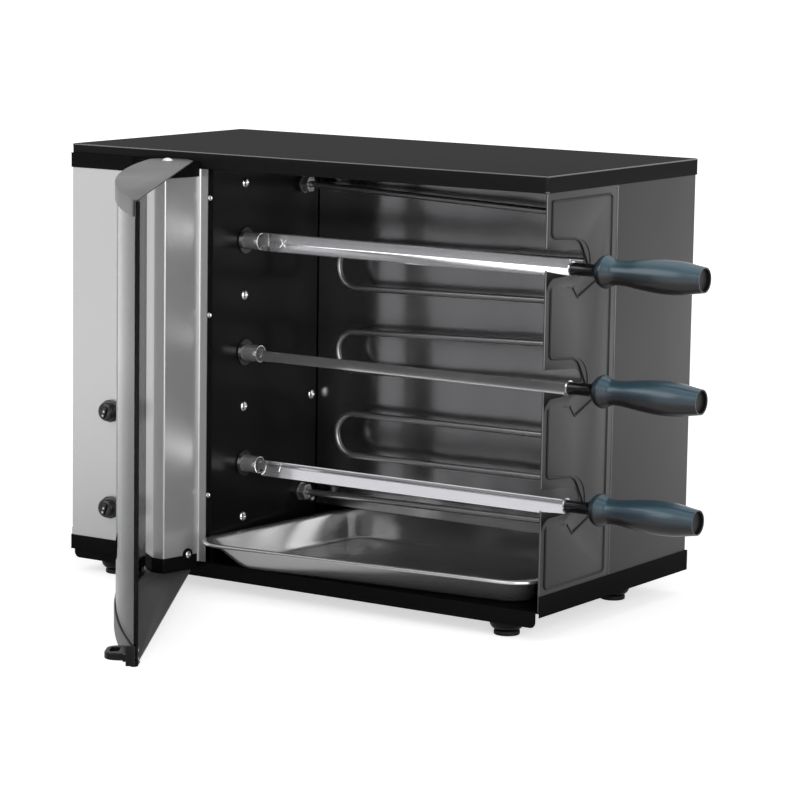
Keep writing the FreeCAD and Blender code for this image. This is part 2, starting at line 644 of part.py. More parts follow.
def make_door_handle():
    """Horizontal D-shaped loop at the door's lower free corner, with a clamp on the glass edge."""
    s0, s1 = DOOR_LENGTH - HANDLE_LENGTH, DOOR_LENGTH
    o0 = arc_o(s1) - 3.0
    o1 = arc_o(s1) + HANDLE_REACH
    z0, z1 = HANDLE_Z, HANDLE_Z + HANDLE_HEIGHT
    outer = box((PIN_X + s0, PIN_Y - o1, z0), (PIN_X + s1, PIN_Y - o0, z1))
    front_y = PIN_Y - o1
    outer = outer.makeFillet(HANDLE_CORNER, upright_edges(outer, lambda p: abs(p.y - front_y) < 1e-6))
    rims = [e for e in outer.Edges if e.BoundBox.ZLength < 1e-6 and e.BoundBox.YMax < PIN_Y - o0 - 1e-6]
    outer = outer.makeFillet(1.2, rims)
    hole = box((PIN_X + s0 + HANDLE_ARM, front_y + HANDLE_END, z0 - 1),
               (PIN_X + s1 - HANDLE_ARM, PIN_Y - arc_o(s0) - 2.0, z1 + 1))
    hole = hole.makeFillet(HANDLE_CORNER - HANDLE_ARM, upright_edges(hole, lambda p: True))
    loop = outer.cut(hole)
    centre = (ARC_CENTRE.x, ARC_CENTRE.y)
    loop = loop.cut(rod(DOOR_ARC_RADIUS, centre + (z0 - 5,), centre + (z1 + 5,)))
    clamp = box((PIN_X + GLASS_END_S, PIN_Y - arc_o(GLASS_END_S) - 5.0, DOOR_LOW_Z + DOOR_PLATE + 1.0),
                (PIN_X + GLASS_END_S + 4.0, PIN_Y - DOOR_CHORD_O - 0.3, DOOR_LOW_Z + 20.0))
    clamp = clamp.makeFillet(1.5, upright_edges(clamp, lambda p: True))
    arm_y = PIN_Y - arc_o(DOOR_LENGTH)
    arm = box((PIN_X + DOOR_LENGTH - HANDLE_ARM, arm_y - 7.0, z0), (PIN_X + GLASS_END_S + 1.0, arm_y - 1.6, z1))
    arm = arm.cut(rod(DOOR_ARC_RADIUS, centre + (z0 - 5,), centre + (z1 + 5,)))
    return open_door(fuse([loop, arm, clamp]))


def make_handle_screws():
    """Two bright screws that hold the handle, seen inside the door's free corner."""
    screws = []
    depth = DOOR_PLATE + GLASS_SEAT + GLASS_THICKNESS + 0.2
    for z in (HANDLE_Z + 1.5, HANDLE_Z + 9.0):
        s = GLASS_END_S - 9.0
        place = V(PIN_X + s, PIN_Y - arc_o(s), z)
        inwards = (V(ARC_CENTRE.x, ARC_CENTRE.y, z) - place).normalize()
        screws.append(pan_head(tuple(place + inwards * depth), tuple(inwards), 3.4, 1.9))
    return open_door(Part.makeCompound(screws))


def make_hinge_pins():
    """Two pins with domed heads, fast in the door plates and free in the bands' caps."""
    pins = []
    for outer_z, inner_z, side in ((DOOR_TOP_Z, TOP_BAND_Z - 4.0, 1.0), (DOOR_LOW_Z, LOW_BAND_Z + 4.0, -1.0)):
        shank = rod(PIN_RADIUS, (PIN_X, PIN_Y, inner_z), (PIN_X, PIN_Y, outer_z + side * 0.5))
        dome_radius = 7.4
        centre_z = outer_z + side * (2.4 - dome_radius)
        dome = Part.makeSphere(dome_radius, V(PIN_X, PIN_Y, centre_z))
        keep = rod(PIN_HEAD_RADIUS, (PIN_X, PIN_Y, outer_z), (PIN_X, PIN_Y, outer_z + side * 5.0))
        pins.append(fuse([shank, dome.common(keep)]))
    return open_door(Part.makeCompound(pins))


# ---- spits ----
def angle_section(leg, x_start, x_end, y, z):
    """Return a right-angle channel along X, its fold towards the back, centred on its axis."""
    reach = leg * math.sqrt(0.5)
    skin = BLADE_SHEET * math.sqrt(2.0)
    back = y + 0.5 * reach
    points = [V(x_start, back, z), V(x_start, back - reach, z + reach),
              V(x_start, back - reach - 0.5 * skin, z + reach - 0.5 * skin), V(x_start, back - skin, z),
              V(x_start, back - reach - 0.5 * skin, z - reach + 0.5 * skin), V(x_start, back - reach, z - reach)]
    return Part.Face(Part.makePolygon(points + points[:1])).extrude(V(x_end - x_start, 0, 0))


def make_spit_blade(name):
    """Folded stainless blade with a narrow tang for the drive tube and a round core for the grip."""
    z = SPIT_ZS[name]
    shoulder = TUBE_END_X + 3.5
    blade = angle_section(BLADE_LEG, shoulder, BLADE_END_X, SPIT_Y, z)
    tang = angle_section(TANG_LEG, TUBE_END_X - TANG_LENGTH, shoulder + 20.0, SPIT_Y + 1.6, z)
    plate = rod(7.2, (BLADE_END_X - 1.5, SPIT_Y, z), (BLADE_END_X, SPIT_Y, z))
    core = rod(CORE_RADIUS, (BLADE_END_X - 1.0, SPIT_Y, z), (GRIP_START_X, SPIT_Y, z))
    return turn_spit(fuse([blade, tang, plate, core]), name)


def turn_spit(shape, name):
    """Turn a spit piece about its own axis to its resting place."""
    turned = shape.copy()
    turned.rotate(V(0, SPIT_Y, SPIT_ZS[name]), X_AXIS, SPIT_TURN[name])
    return turned


def make_spit_sleeve(name):
    """Black bearing sleeve that lies still in the slot while the core turns in it."""
    z = SPIT_ZS[name]
    start, end = BLADE_END_X + GAP, GRIP_START_X - GAP
    barrel = rod(SLEEVE_RADIUS, (start, SPIT_Y, z), (FERRULE_X + 1.0, SPIT_Y, z))
    cone = [(0, SLEEVE_RADIUS), (2.0, SLEEVE_RADIUS + 1.2), (end - FERRULE_X, 13.0)]
    bore = rod(CORE_RADIUS + 0.2, (start - 1.0, SPIT_Y, z), (end + 1.0, SPIT_Y, z))
    return fuse([barrel, revolve_x(cone, FERRULE_X, SPIT_Y, z)]).cut(bore)


def make_spit_grip(name):
    """Turned grip: a collar, a waist, a swelling and a narrower end with a recess."""
    z = SPIT_ZS[name]
    stations = [(0, 13.6), (3.2, 15.3), (6.5, 15.8), (11.0, 13.9), (16.5, 11.9), (28.0, 12.2),
                (45.0, 14.4), (66.0, 16.2), (85.0, 15.6), (100.0, 13.4), (GRIP_LENGTH, 12.0)]
    grip = revolve_x(spline_profile(stations), GRIP_START_X, SPIT_Y, z)
    end_x = GRIP_START_X + GRIP_LENGTH
    return grip.cut(rod(11.0, (end_x - 4.0, SPIT_Y, z), (end_x + 1.0, SPIT_Y, z)))


# ---- drive ----
def involute_gear(teeth, bore, y, z, first_angle, x_start, width):
    """Return a spur gear along X; a tooth is centred at first_angle, from +Z towards +Y."""
    pitch = 0.5 * MODULE * teeth
    base = pitch * math.cos(math.radians(20.0))
    tip, root = pitch + 0.9 * MODULE, pitch - 1.2 * MODULE
    spread = lambda r: math.sqrt(max((r / base) ** 2 - 1.0, 0.0)) - math.acos(min(base / r, 1.0))
    half_pitch = (0.25 * math.pi * MODULE * 2.0 - BACKLASH) / (2.0 * pitch)
    points = []
    for tooth in range(teeth):
        centre = first_angle + 2.0 * math.pi * tooth / teeth
        flank = []
        start = max(root, base)
        for step in range(4):
            r = start + (tip - start) * step / 3.0
            flank.append((r, half_pitch + spread(pitch) - spread(r)))
        root_half = min(flank[0][1] + 0.01, math.pi / teeth - 0.01)
        left = [(root, root_half)] + flank
        points += [(r, centre - a) for r, a in left] + [(r, centre + a) for r, a in left[::-1]]
    corners = [V(x_start, y + r * math.sin(a), z + r * math.cos(a)) for r, a in points]
    gear = Part.Face(Part.makePolygon(corners + corners[:1])).extrude(V(width, 0, 0))
    return gear.cut(rod(bore, (x_start - 1, y, z), (x_start + width + 1, y, z)))


def make_spit_gear(name):
    """Gear on a drive tube; the middle one has gaps where the outer ones have teeth."""
    phase = math.pi / SPIT_TEETH if name == "middle" else 0.0
    return involute_gear(SPIT_TEETH, TUBE_RADIUS + 0.02, SPIT_Y, SPIT_ZS[name], phase, GEAR_X, GEAR_WIDTH)


def make_idler_gear(name):
    """Gear between two spit gears, turning on a fixed pin."""
    phase = math.pi / IDLER_TEETH if name == "upper" else 0.0
    bore = IDLER_PIN_RADIUS + RUNNING_FIT
    return involute_gear(IDLER_TEETH, bore, SPIT_Y, IDLER_ZS[name], phase, GEAR_X, GEAR_WIDTH)


def make_motor_pinion():
    """Pinion and output shaft of the drive motor."""
    z = SPIT_ZS["middle"]
    phase = -0.5 * math.pi + math.pi / PINION_TEETH
    gear = involute_gear(PINION_TEETH, 3.0, PINION_Y, z, phase, GEAR_X, GEAR_WIDTH)
    shaft = rod(4.0, (GEAR_PLATE_X - 20.0, PINION_Y, z), (GEAR_X + GEAR_WIDTH + 3.0, PINION_Y, z))
    return fuse([gear, shaft])


def make_drive_tube(name):
    """Tube that carries a spit's tang and turns it."""
    z = SPIT_ZS[name]
    tube = ring(TUBE_RADIUS, TUBE_BORE, (TUBE_START_X, SPIT_Y, z), (TUBE_END_X, SPIT_Y, z))
    collar = ring(TUBE_RADIUS + 3.0, TUBE_RADIUS - 0.2, (GEAR_X - 4.0, SPIT_Y, z), (GEAR_X, SPIT_Y, z))
    notch = box((TUBE_END_X - 4.0, SPIT_Y - 1.5, z - TUBE_RADIUS - 1), (TUBE_END_X + 1, SPIT_Y + 1.5, z - TUBE_BORE + 1))
    notch.rotate(V(0, SPIT_Y, z), X_AXIS, 35.0)
    return fuse([tube, collar]).cut(notch)


def bush_barrel_radius():
    """Return the outside radius of a spit bush where it passes the wall."""
    return TUBE_RADIUS + 2.5


def make_spit_bushes():
    """Flanged bushes in the cavity wall, one for each drive tube."""
    bushes = []
    for z in SPIT_ZS.values():
        bore = TUBE_RADIUS + RUNNING_FIT
        barrel = ring(bush_barrel_radius(), bore, (CAVITY_LEFT_X - 7.0, SPIT_Y, z), (CAVITY_LEFT_X, SPIT_Y, z))
        flange = ring(13.0, bore, (CAVITY_LEFT_X, SPIT_Y, z), (CAVITY_LEFT_X + 1.4, SPIT_Y, z))
        bushes.append(fuse([barrel, flange]))
    return Part.makeCompound(bushes)


def make_gear_plate():
    """Plate on the drive side that carries the tubes' far ends and the motor."""
    x0, x1 = GEAR_PLATE_X, GEAR_PLATE_X + GEAR_PLATE_SHEET
    low, high = IDLER_ZS["lower"] - SPIT_PITCH - 10.0, IDLER_ZS["upper"] + SPIT_PITCH + 10.0
    plate = box((x0, SPIT_Y - 46.0, low), (x1, PINION_Y + 24.0, high))
    for z in SPIT_ZS.values():
        plate = plate.cut(rod(TUBE_RADIUS + RUNNING_FIT, (x0 - 5, SPIT_Y, z), (x1 + 5, SPIT_Y, z)))
    z = SPIT_ZS["middle"]
    return plate.cut(rod(6.0, (x0 - 5, PINION_Y, z), (x1 + 5, PINION_Y, z)))


def make_gear_pins():
    """Fixed pins: two that carry the idlers and two that hold the plate off the wall."""
    zs = list(IDLER_ZS.values()) + [IDLER_ZS["lower"] - SPIT_PITCH, IDLER_ZS["upper"] + SPIT_PITCH]
    x0, x1 = GEAR_PLATE_X + GEAR_PLATE_SHEET, CAVITY_LEFT_X - SHEET
    pins = [rod(IDLER_PIN_RADIUS, (x0, SPIT_Y, z), (x1, SPIT_Y, z)) for z in zs]
    return Part.makeCompound(pins)


def make_drive_motor():
    """Slow gear motor on the gear plate."""
    y, z = PINION_Y, SPIT_ZS["middle"]
    case = rod(MOTOR_RADIUS, (GEAR_PLATE_X - 24.0, y, z), (GEAR_PLATE_X, y, z))
    can = rod(MOTOR_RADIUS - 5.0, (GEAR_PLATE_X - 42.0, y, z), (GEAR_PLATE_X - 24.0, y, z))
    bore = rod(4.0 + RUNNING_FIT, (GEAR_PLATE_X - 20.5, y, z), (GEAR_PLATE_X + 1.0, y, z))
    return fuse([case, can]).cut(bore)


# ---- heating ----
def make_heating_element():
    """One long tube folded to and fro in front of the reflector, both ends through the wall."""
    end_x, straight_x = CAVITY_LEFT_X - 14.0, CAVITY_LEFT_X + 14.0
    low, high = ELEMENT_LEFT_Z[0], ELEMENT_LEFT_Z[-1]
    points = [(end_x, ELEMENT_Y, low), (straight_x, ELEMENT_Y, low)]
    radii = [40.0]
    rows = len(ELEMENT_LEFT_Z)
    for row in range(rows - 1):
        zs, x = (ELEMENT_RIGHT_Z, ELEMENT_RIGHT_X) if row % 2 == 0 else (ELEMENT_LEFT_Z, ELEMENT_LEFT_X)
        points += [(x, ELEMENT_Y, zs[row]), (x, ELEMENT_Y, zs[row + 1])]
        radii += [0.47 * (zs[row + 1] - zs[row])] * 2
    points += [(straight_x, ELEMENT_Y, high), (end_x, ELEMENT_Y, high)]
    return bent_rod(points, radii + [40.0], ELEMENT_RADIUS)


def make_element_nuts():
    """Two hexagonal nuts on washers where the element's ends pass the wall."""
    parts = []
    bore = ELEMENT_RADIUS + 0.2
    x = CAVITY_LEFT_X
    for z in (ELEMENT_LEFT_Z[0], ELEMENT_LEFT_Z[-1]):
        washer = ring(9.0, bore, (x, ELEMENT_Y, z), (x + 1.5, ELEMENT_Y, z))
        nut = hex_nut(NUT_FLATS, (x + 1.5, ELEMENT_Y, z), (x + 8.5, ELEMENT_Y, z), bore)
        parts.append(fuse([washer, nut]))
    return Part.makeCompound(parts)


def make_element_support():
    """Upright strip near the right side that the element's runs lie against."""
    y0 = ELEMENT_Y + ELEMENT_RADIUS + 0.1
    x0, x1 = ELEMENT_RIGHT_X - 34.0, ELEMENT_RIGHT_X - 24.0
    low, high = ELEMENT_RIGHT_Z[0] - 8.0, ELEMENT_RIGHT_Z[-1] + 8.0
    strip = box((x0, y0, low), (x1, y0 + SHEET, high))
    feet = [box((x0, y0, z), (x1, REFLECTOR_Y, z + SHEET)) for z in (low, high - SHEET)]
    return fuse([strip] + feet)


def make_probe():
    """Thermostat's probe: a short stub with a round end, beside the lower nut."""
    y, z = ELEMENT_Y + 12.0, ELEMENT_LEFT_Z[0] - 9.0
    stub = rod(2.6, (CAVITY_LEFT_X, y, z), (CAVITY_LEFT_X + 5.0, y, z))
    return fuse([stub, Part.makeSphere(3.0, V(CAVITY_LEFT_X + 5.5, y, z))])


# ---- drip pan ----
def pan_outline(insets, radius, z):
    """Return the pan's plan, drawn in by an inset for each side, as a round-cornered wire."""
    lines = []
    for i, inset in enumerate(insets):
        a, b = V(*PAN_PLAN[i], 0), V(*PAN_PLAN[(i + 1) % 4], 0)
        along = (b - a).normalize()
        lines.append((a + V(-along.y, along.x, 0) * inset, along))
    corners = []
    for (p, u), (q, w) in zip([lines[-1]] + lines[:-1], lines):
        t = ((q.x - p.x) * w.y - (q.y - p.y) * w.x) / (u.x * w.y - u.y * w.x)
        corners.append(p + u * t)
    corners = [V(c.x, c.y, z) for c in corners]
    block = Part.Face(Part.makePolygon(corners + corners[:1])).extrude(V(0, 0, 1.0))
    block = block.makeFillet(radius, upright_edges(block, lambda p: True))
    return [face for face in block.Faces if face.CenterOfMass.z < z + 1e-6][0].OuterWire


def make_drip_pan():
    """Pressed pan with sloping sides and a flat rim."""
    top, low = PAN_RIM_Z, FLOOR_Z + GAP
    rim = Part.Face(pan_outline((0, 0, 0, 0), PAN_CORNER, top - PAN_SHEET)).extrude(V(0, 0, PAN_SHEET))

    def tub(skin, z_top, z_low):
        mouth = [width - skin for width in PAN_RIMS]
        floor = [width + taper - skin for width, taper in zip(PAN_RIMS, PAN_TAPERS)]
        return Part.makeLoft([pan_outline(mouth, PAN_CORNER - 5.0, z_top),
                              pan_outline(floor, PAN_CORNER - 8.0, z_low)], True, True)

    return fuse([rim, tub(PAN_SHEET, top - PAN_SHEET, low)]).cut(tub(0.0, top + 0.01, low + PAN_SHEET))


# ---- knobs and controls ----
def make_knob(z):
    """Round knob with a skirt, a tapered grip and a raised pointer."""
    y0 = FASCIA_FRONT_Y - 0.7
    skirt = rod(KNOB_RADIUS, (KNOB_X, y0, z), (KNOB_X, y0 - KNOB_SKIRT, z))
    grip = Part.makeCone(KNOB_GRIP_RADIUS, KNOB_GRIP_RADIUS - 1.2, KNOB_HEIGHT - KNOB_SKIRT,
                         V(KNOB_X, y0 - KNOB_SKIRT, z), V(0, -1, 0))
    top = [e for e in grip.Edges if e.BoundBox.YMax < y0 - KNOB_HEIGHT + 1e-3]
    grip = grip.makeFillet(1.5, top)
    knob = fuse([skirt, grip])
    bore = rod(KNOB_SHAFT_RADIUS, (KNOB_X, y0 + 1, z), (KNOB_X, y0 - 8.0, z))
    return knob.cut(bore)


def make_knob_shaft(z):
    """Control shaft from inside the knob to inside the switch."""
    y0 = FASCIA_FRONT_Y - 0.7
    return rod(KNOB_SHAFT_RADIUS, (KNOB_X, y0 - 8.0, z), (KNOB_X, 18.0, z))


def make_control_body(z, width, depth):
    """Switch or thermostat body behind the fascia, with a collar that meets the fascia."""
    y_back = FASCIA_FRONT_Y + FASCIA_SHEET
    collar = rod(6.0, (KNOB_X, y_back, z), (KNOB_X, y_back + 6.0, z))
    half = 0.5 * width
    body = box((KNOB_X - half, y_back + 5.0, z - half), (KNOB_X + half, y_back + 5.0 + depth, z + half))
    bore = rod(KNOB_SHAFT_RADIUS + RUNNING_FIT, (KNOB_X, y_back - 1, z), (KNOB_X, 18.5, z))
    return fuse([collar, body]).cut(bore)


def make_terminal_block():
    """Terminal block on the floor of the drive side."""
    block = box((45.0, 190.0, FLOOR_Z), (95.0, 208.0, FLOOR_Z + 16.0))
    for i in range(4):
        x = 51.25 + 12.5 * i
        block = block.cut(rod(3.0, (x, 199.0, FLOOR_Z + 8.0), (x, 199.0, FLOOR_Z + 17.0)))
    return block


def gland_barrel_radius():
    """Return the radius of the cord bush where it passes the back panel."""
    return GLAND_BORE + 3.4


def make_cord_bush():
    """Bush in the back panel that the mains cord passes through."""
    back = CABINET_DEPTH - SHEET
    barrel = rod(gland_barrel_radius(), (GLAND_X, back - 7.0, GLAND_Z), (GLAND_X, back, GLAND_Z))
    flange = rod(gland_barrel_radius() + 3.0, (GLAND_X, back, GLAND_Z), (GLAND_X, back + 4.0, GLAND_Z))
    bore = rod(GLAND_BORE, (GLAND_X, back - 10.0, GLAND_Z), (GLAND_X, back + 10.0, GLAND_Z))
    return fuse([barrel, flange]).cut(bore)


# ---- feet and screws ----
def foot_places():
    """Return the plan places of the four feet."""
    xs = (FOOT_INSET_X, CABINET_WIDTH - FOOT_INSET_X)
    return [(x, y) for x in xs for y in (FOOT_FRONT_Y, FOOT_REAR_Y)]


def make_foot_pads():
    """Four round rubber pads."""
    pads = []
    for x, y in foot_places():
        pad = rod(FOOT_RADIUS, (x, y, 0), (x, y, FOOT_PAD))
        pads.append(pad.makeFillet(1.2, [e for e in pad.Edges if e.BoundBox.ZLength < 1e-6]))
    return Part.makeCompound(pads)


def make_foot_bowls():
    """Four pressed bowls that carry the pads under the floor."""
    bowls = []
    top, low, r = FLOOR_Z - SHEET, FOOT_PAD, FOOT_BOWL_RADIUS
    for x, y in foot_places():
        points = [V(x, y, low), V(x + 0.45 * r, y, low), V(x + r, y, low + 9.0), V(x + r, y, top), V(x, y, top)]
        crest = V(x + 0.86 * r, y, low + 2.6)
        edges = [Part.LineSegment(points[0], points[1]), Part.Arc(points[1], crest, points[2]),
                 Part.LineSegment(points[2], points[3]), Part.LineSegment(points[3], points[4]),
                 Part.LineSegment(points[4], points[0])]
        wire = Part.Wire([edge.toShape() for edge in edges])
        bowls.append(Part.Face(wire).revolve(points[0], Z_AXIS, 360))
    return Part.makeCompound(bowls)


def pan_head(start, direction, radius, height):
    """Return a low screw head with a straight edge and a bevelled top, as many flat sides."""
    axis = V(*direction).normalize()
    side = axis.cross(Z_AXIS if abs(axis.z) < 0.9 else X_AXIS).normalize()
    other = axis.cross(side)
    start = V(*start)
    rings = []
    for scale, level in ((1.0, 0.0), (1.0, 0.45), (0.62, 1.0)):
        ring_points = [start + axis * (level * height)
                       + (side * math.cos(2 * math.pi * i / HEAD_SIDES)
                          + other * math.sin(2 * math.pi * i / HEAD_SIDES)) * (scale * radius)
                       for i in range(HEAD_SIDES)]
        rings.append(Part.makePolygon(ring_points + ring_points[:1]))
    return Part.makeLoft(rings, True, True)


def make_wall_screws():
    """Screw heads on the cavity side of the left wall."""
    zs = list(IDLER_ZS.values()) + [IDLER_ZS["lower"] - SPIT_PITCH, IDLER_ZS["upper"] + SPIT_PITCH]
    places = [(SPIT_Y - 1.0, z + 1.5) for z in zs] + [(REFLECTOR_Y - 10.0, IDLER_ZS["lower"])]
    heads = [pan_head((CAVITY_LEFT_X, y, z), (1, 0, 0), 5.0, 2.2) for y, z in places]
    return Part.makeCompound(heads)


def make_flange_screws():
    """Screw heads that hold the fascia's edge to the wall flange, and the lower band's tab."""
    x = FASCIA_END_X + 2.6
    heads = [pan_head((x, 0, z), (0, -1, 0), 2.4, 1.3) for z in (97.3, 277.7, 393.5)]
    heads.append(pan_head(tuple(tab_centre(BAND_SEAT + SHEET)), tuple(post_outward()), 3.4, 1.8))
    return Part.makeCompound(heads)


def make_rear_screws():
    """Screw heads round the edge of the back panel and along the cover's rear flange."""
    y = CABINET_DEPTH - SHEET
    heads = [pan_head((x, y, z), (0, 1, 0), 3.4, 0.9) for x in (12.0, CABINET_WIDTH - 12.0)
             for z in (70.0, 210.0, 350.0)]
    heads += [pan_head((x, CABINET_DEPTH, TOP_Z - 9.0), (0, 1, 0), 3.4, 1.6) for x in (60.0, 280.0, 500.0)]
    return Part.makeCompound(heads)


def build():
    """Fill NODES with every piece, in oven axes."""
    NODES["base_pan"] = make_base_pan()
    NODES["top_cover"] = make_top_cover()
    NODES["left_side_panel"] = make_left_side_panel()
    NODES["rear_wrap_panel"] = make_rear_wrap_panel()
    NODES["right_front_panel"] = make_right_front_panel()
    NODES["inner_deck"] = make_inner_deck()
    NODES["cavity_left_wall"] = make_cavity_left_wall()
    NODES["rear_reflector"] = make_rear_reflector()
    NODES["control_fascia"] = make_control_fascia()
    NODES["fascia_top_band"] = make_band(TOP_BAND_Z - BAND_HEIGHT, TOP_BAND_Z - SHEET)
    NODES["fascia_low_band"] = make_fascia_low_band()
    NODES["foot_pads"] = make_foot_pads()
    NODES["foot_bowls"] = make_foot_bowls()
    NODES["wall_screws"] = make_wall_screws()
    NODES["flange_screws"] = make_flange_screws()
    NODES["rear_screws"] = make_rear_screws()
    NODES["heating_element"] = make_heating_element()
    NODES["element_nuts"] = make_element_nuts()
    NODES["element_support"] = make_element_support()
    NODES["thermostat_probe"] = make_probe()
    NODES["spit_bushes"] = make_spit_bushes()
    NODES["gear_plate"] = make_gear_plate()
    NODES["gear_pins"] = make_gear_pins()
    NODES["drive_motor"] = make_drive_motor()
    NODES["thermostat_body"] = make_control_body(KNOB_ZS["heat"], 36.0, 22.0)
    NODES["rotation_switch"] = make_control_body(KNOB_ZS["rotation"], 28.0, 18.0)
    NODES["terminal_block"] = make_terminal_block()
    NODES["cord_bush"] = make_cord_bush()
    NODES["door_top_plate"] = make_door_top_plate()
    NODES["door_low_plate"] = make_door_low_plate()
    NODES["door_glass"] = make_door_glass()
    NODES["glass_clips"] = make_glass_clips()
    NODES["door_handle"] = make_door_handle()
    NODES["handle_screws"] = make_handle_screws()
    NODES["hinge_pins"] = make_hinge_pins()
    for name, z in KNOB_ZS.items():
        NODES[name + "_knob"] = make_knob(z)
        NODES[name + "_knob_shaft"] = make_knob_shaft(z)
    NODES["motor_pinion"] = make_motor_pinion()
    for name in IDLER_ZS:
        NODES[name + "_idler_gear"] = make_idler_gear(name)
    for name in SPIT_NAMES:
        NODES[name + "_drive_tube"] = make_drive_tube(name)
        NODES[name + "_spit_gear"] = make_spit_gear(name)
        NODES[name + "_spit_blade"] = make_spit_blade(name)
        NODES[name + "_spit_sleeve"] = make_spit_sleeve(name)
        NODES[name + "_spit_grip"] = make_spit_grip(name)
    NODES["drip_pan"] = make_drip_pan()


def bottom_centre():
    """Return the bottom centre of the box round every piece."""
    whole = Part.makeCompound(list(NODES.values()))
    bounds = whole.optimalBoundingBox(True, False)
    return V(0.5 * (bounds.XMin + bounds.XMax), 0.5 * (bounds.YMin + bounds.YMax), bounds.ZMin)


build()
ORIGIN = bottom_centre()
os.makedirs("parts", exist_ok=True)
for node, shape in NODES.items():
    placed = shape.copy()
    placed.translate(-ORIGIN)
    placed.exportStep("parts/" + node + ".step")
print("origin in oven axes:", ORIGIN)
print("nodes:", len(NODES))
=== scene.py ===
import logging
import math
from dataclasses import dataclass
from enum import Enum

import bmesh
import bpy
from bpy.types import ID, Material, Mesh, Node, NodeSocket, NodeTree, Object
from mathutils import Matrix, Vector


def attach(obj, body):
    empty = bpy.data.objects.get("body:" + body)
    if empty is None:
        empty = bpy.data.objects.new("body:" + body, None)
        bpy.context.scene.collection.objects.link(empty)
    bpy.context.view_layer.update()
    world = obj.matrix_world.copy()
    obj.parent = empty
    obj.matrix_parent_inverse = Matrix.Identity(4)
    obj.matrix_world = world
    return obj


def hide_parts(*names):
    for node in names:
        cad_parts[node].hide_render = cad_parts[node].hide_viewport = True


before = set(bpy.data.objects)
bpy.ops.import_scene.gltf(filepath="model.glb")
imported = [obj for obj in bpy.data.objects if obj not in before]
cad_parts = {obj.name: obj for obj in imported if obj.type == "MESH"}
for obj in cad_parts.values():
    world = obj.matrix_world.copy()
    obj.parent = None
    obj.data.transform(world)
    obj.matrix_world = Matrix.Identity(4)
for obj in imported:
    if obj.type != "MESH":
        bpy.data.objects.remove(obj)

Pair = tuple[float, float]
Triple = tuple[float, float, float]
Quad = tuple[float, float, float, float]
LOG = logging.getLogger("rotisserie")
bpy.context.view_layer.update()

# The frame's origin in the oven's own axes, in millimetres: X from the cabinet's left side,
# Y from its front plane, Z from the surface it stands on.
ORIGIN_MM = Vector((348.0, -46.2115, 0.0))


def place(x: float, y: float, z: float) -> Vector:
    """Turn a point in the oven's own axes, in millimetres, into the frame, in metres.

    Args:
        x: Distance from the cabinet's left side.
        y: Distance behind its front plane.
        z: Height over the surface it stands on.

    Returns:
        The point in the frame.
    """
    return (Vector((x, y, z)) - ORIGIN_MM) / 1000.0


class Body(Enum):
    """The moving groups that pieces ride on."""

    CABINET = "cabinet"
    DOOR = "door"
    HEAT = "heat_control"
    ROTATION = "rotation_control"
    PAN = "drip_pan_body"


# ---- node helpers
# Sockets of a colour mix node, by place, because their names repeat for each data type.
MIX_FACTOR, MIX_A, MIX_B, MIX_RESULT = 0, 6, 7, 2
WHITE = (1.0, 1.0, 1.0, 1.0)


def add_node(tree: NodeTree, kind: str, inputs: dict[str | int, object] | None = None,
             **settings: object) -> Node:
    """Add a node, set its options, and fill or link its inputs.

    Args:
        tree: The tree that gets the node.
        kind: Type of the node.
        inputs: For each input, by name or place, a value or a socket to link from.
        **settings: Options of the node.

    Returns:
        The node.
    """
    node = tree.nodes.new(kind)
    for option, value in settings.items():
        setattr(node, option, value)
    fill(tree, node, inputs or {})
    return node


def fill(tree: NodeTree, node: Node, inputs: dict[str | int, object]) -> None:
    """Fill or link inputs of a node.

    Args:
        tree: The node's tree.
        node: The node.
        inputs: For each input, by name or place, a value or a socket to link from.
    """
    for key, value in inputs.items():
        if isinstance(value, NodeSocket):
            tree.links.new(value, node.inputs[key])
        else:
            node.inputs[key].default_value = value


def new_tree(name: str, kind: str, inputs: list[tuple], outputs: list[tuple[str, str]]) -> NodeTree:
    """Start a tree with named sockets.

    Args:
        name: Name of the tree.
        kind: Type of the tree.
        inputs: Name, socket type and, for some, default of each input.
        outputs: Name and socket type of each output.

    Returns:
        The tree, with its input and output nodes in place.
    """
    tree = bpy.data.node_groups.new(name, kind)
    for label, socket_kind, *default in inputs:
        socket = tree.interface.new_socket(label, in_out="INPUT", socket_type=socket_kind)
        if default:
            socket.default_value = default[0]
    for label, socket_kind in outputs:
        tree.interface.new_socket(label, in_out="OUTPUT", socket_type=socket_kind)
    tree.nodes.new("NodeGroupInput").name = "In"
    tree.nodes.new("NodeGroupOutput").name = "Out"
    return tree


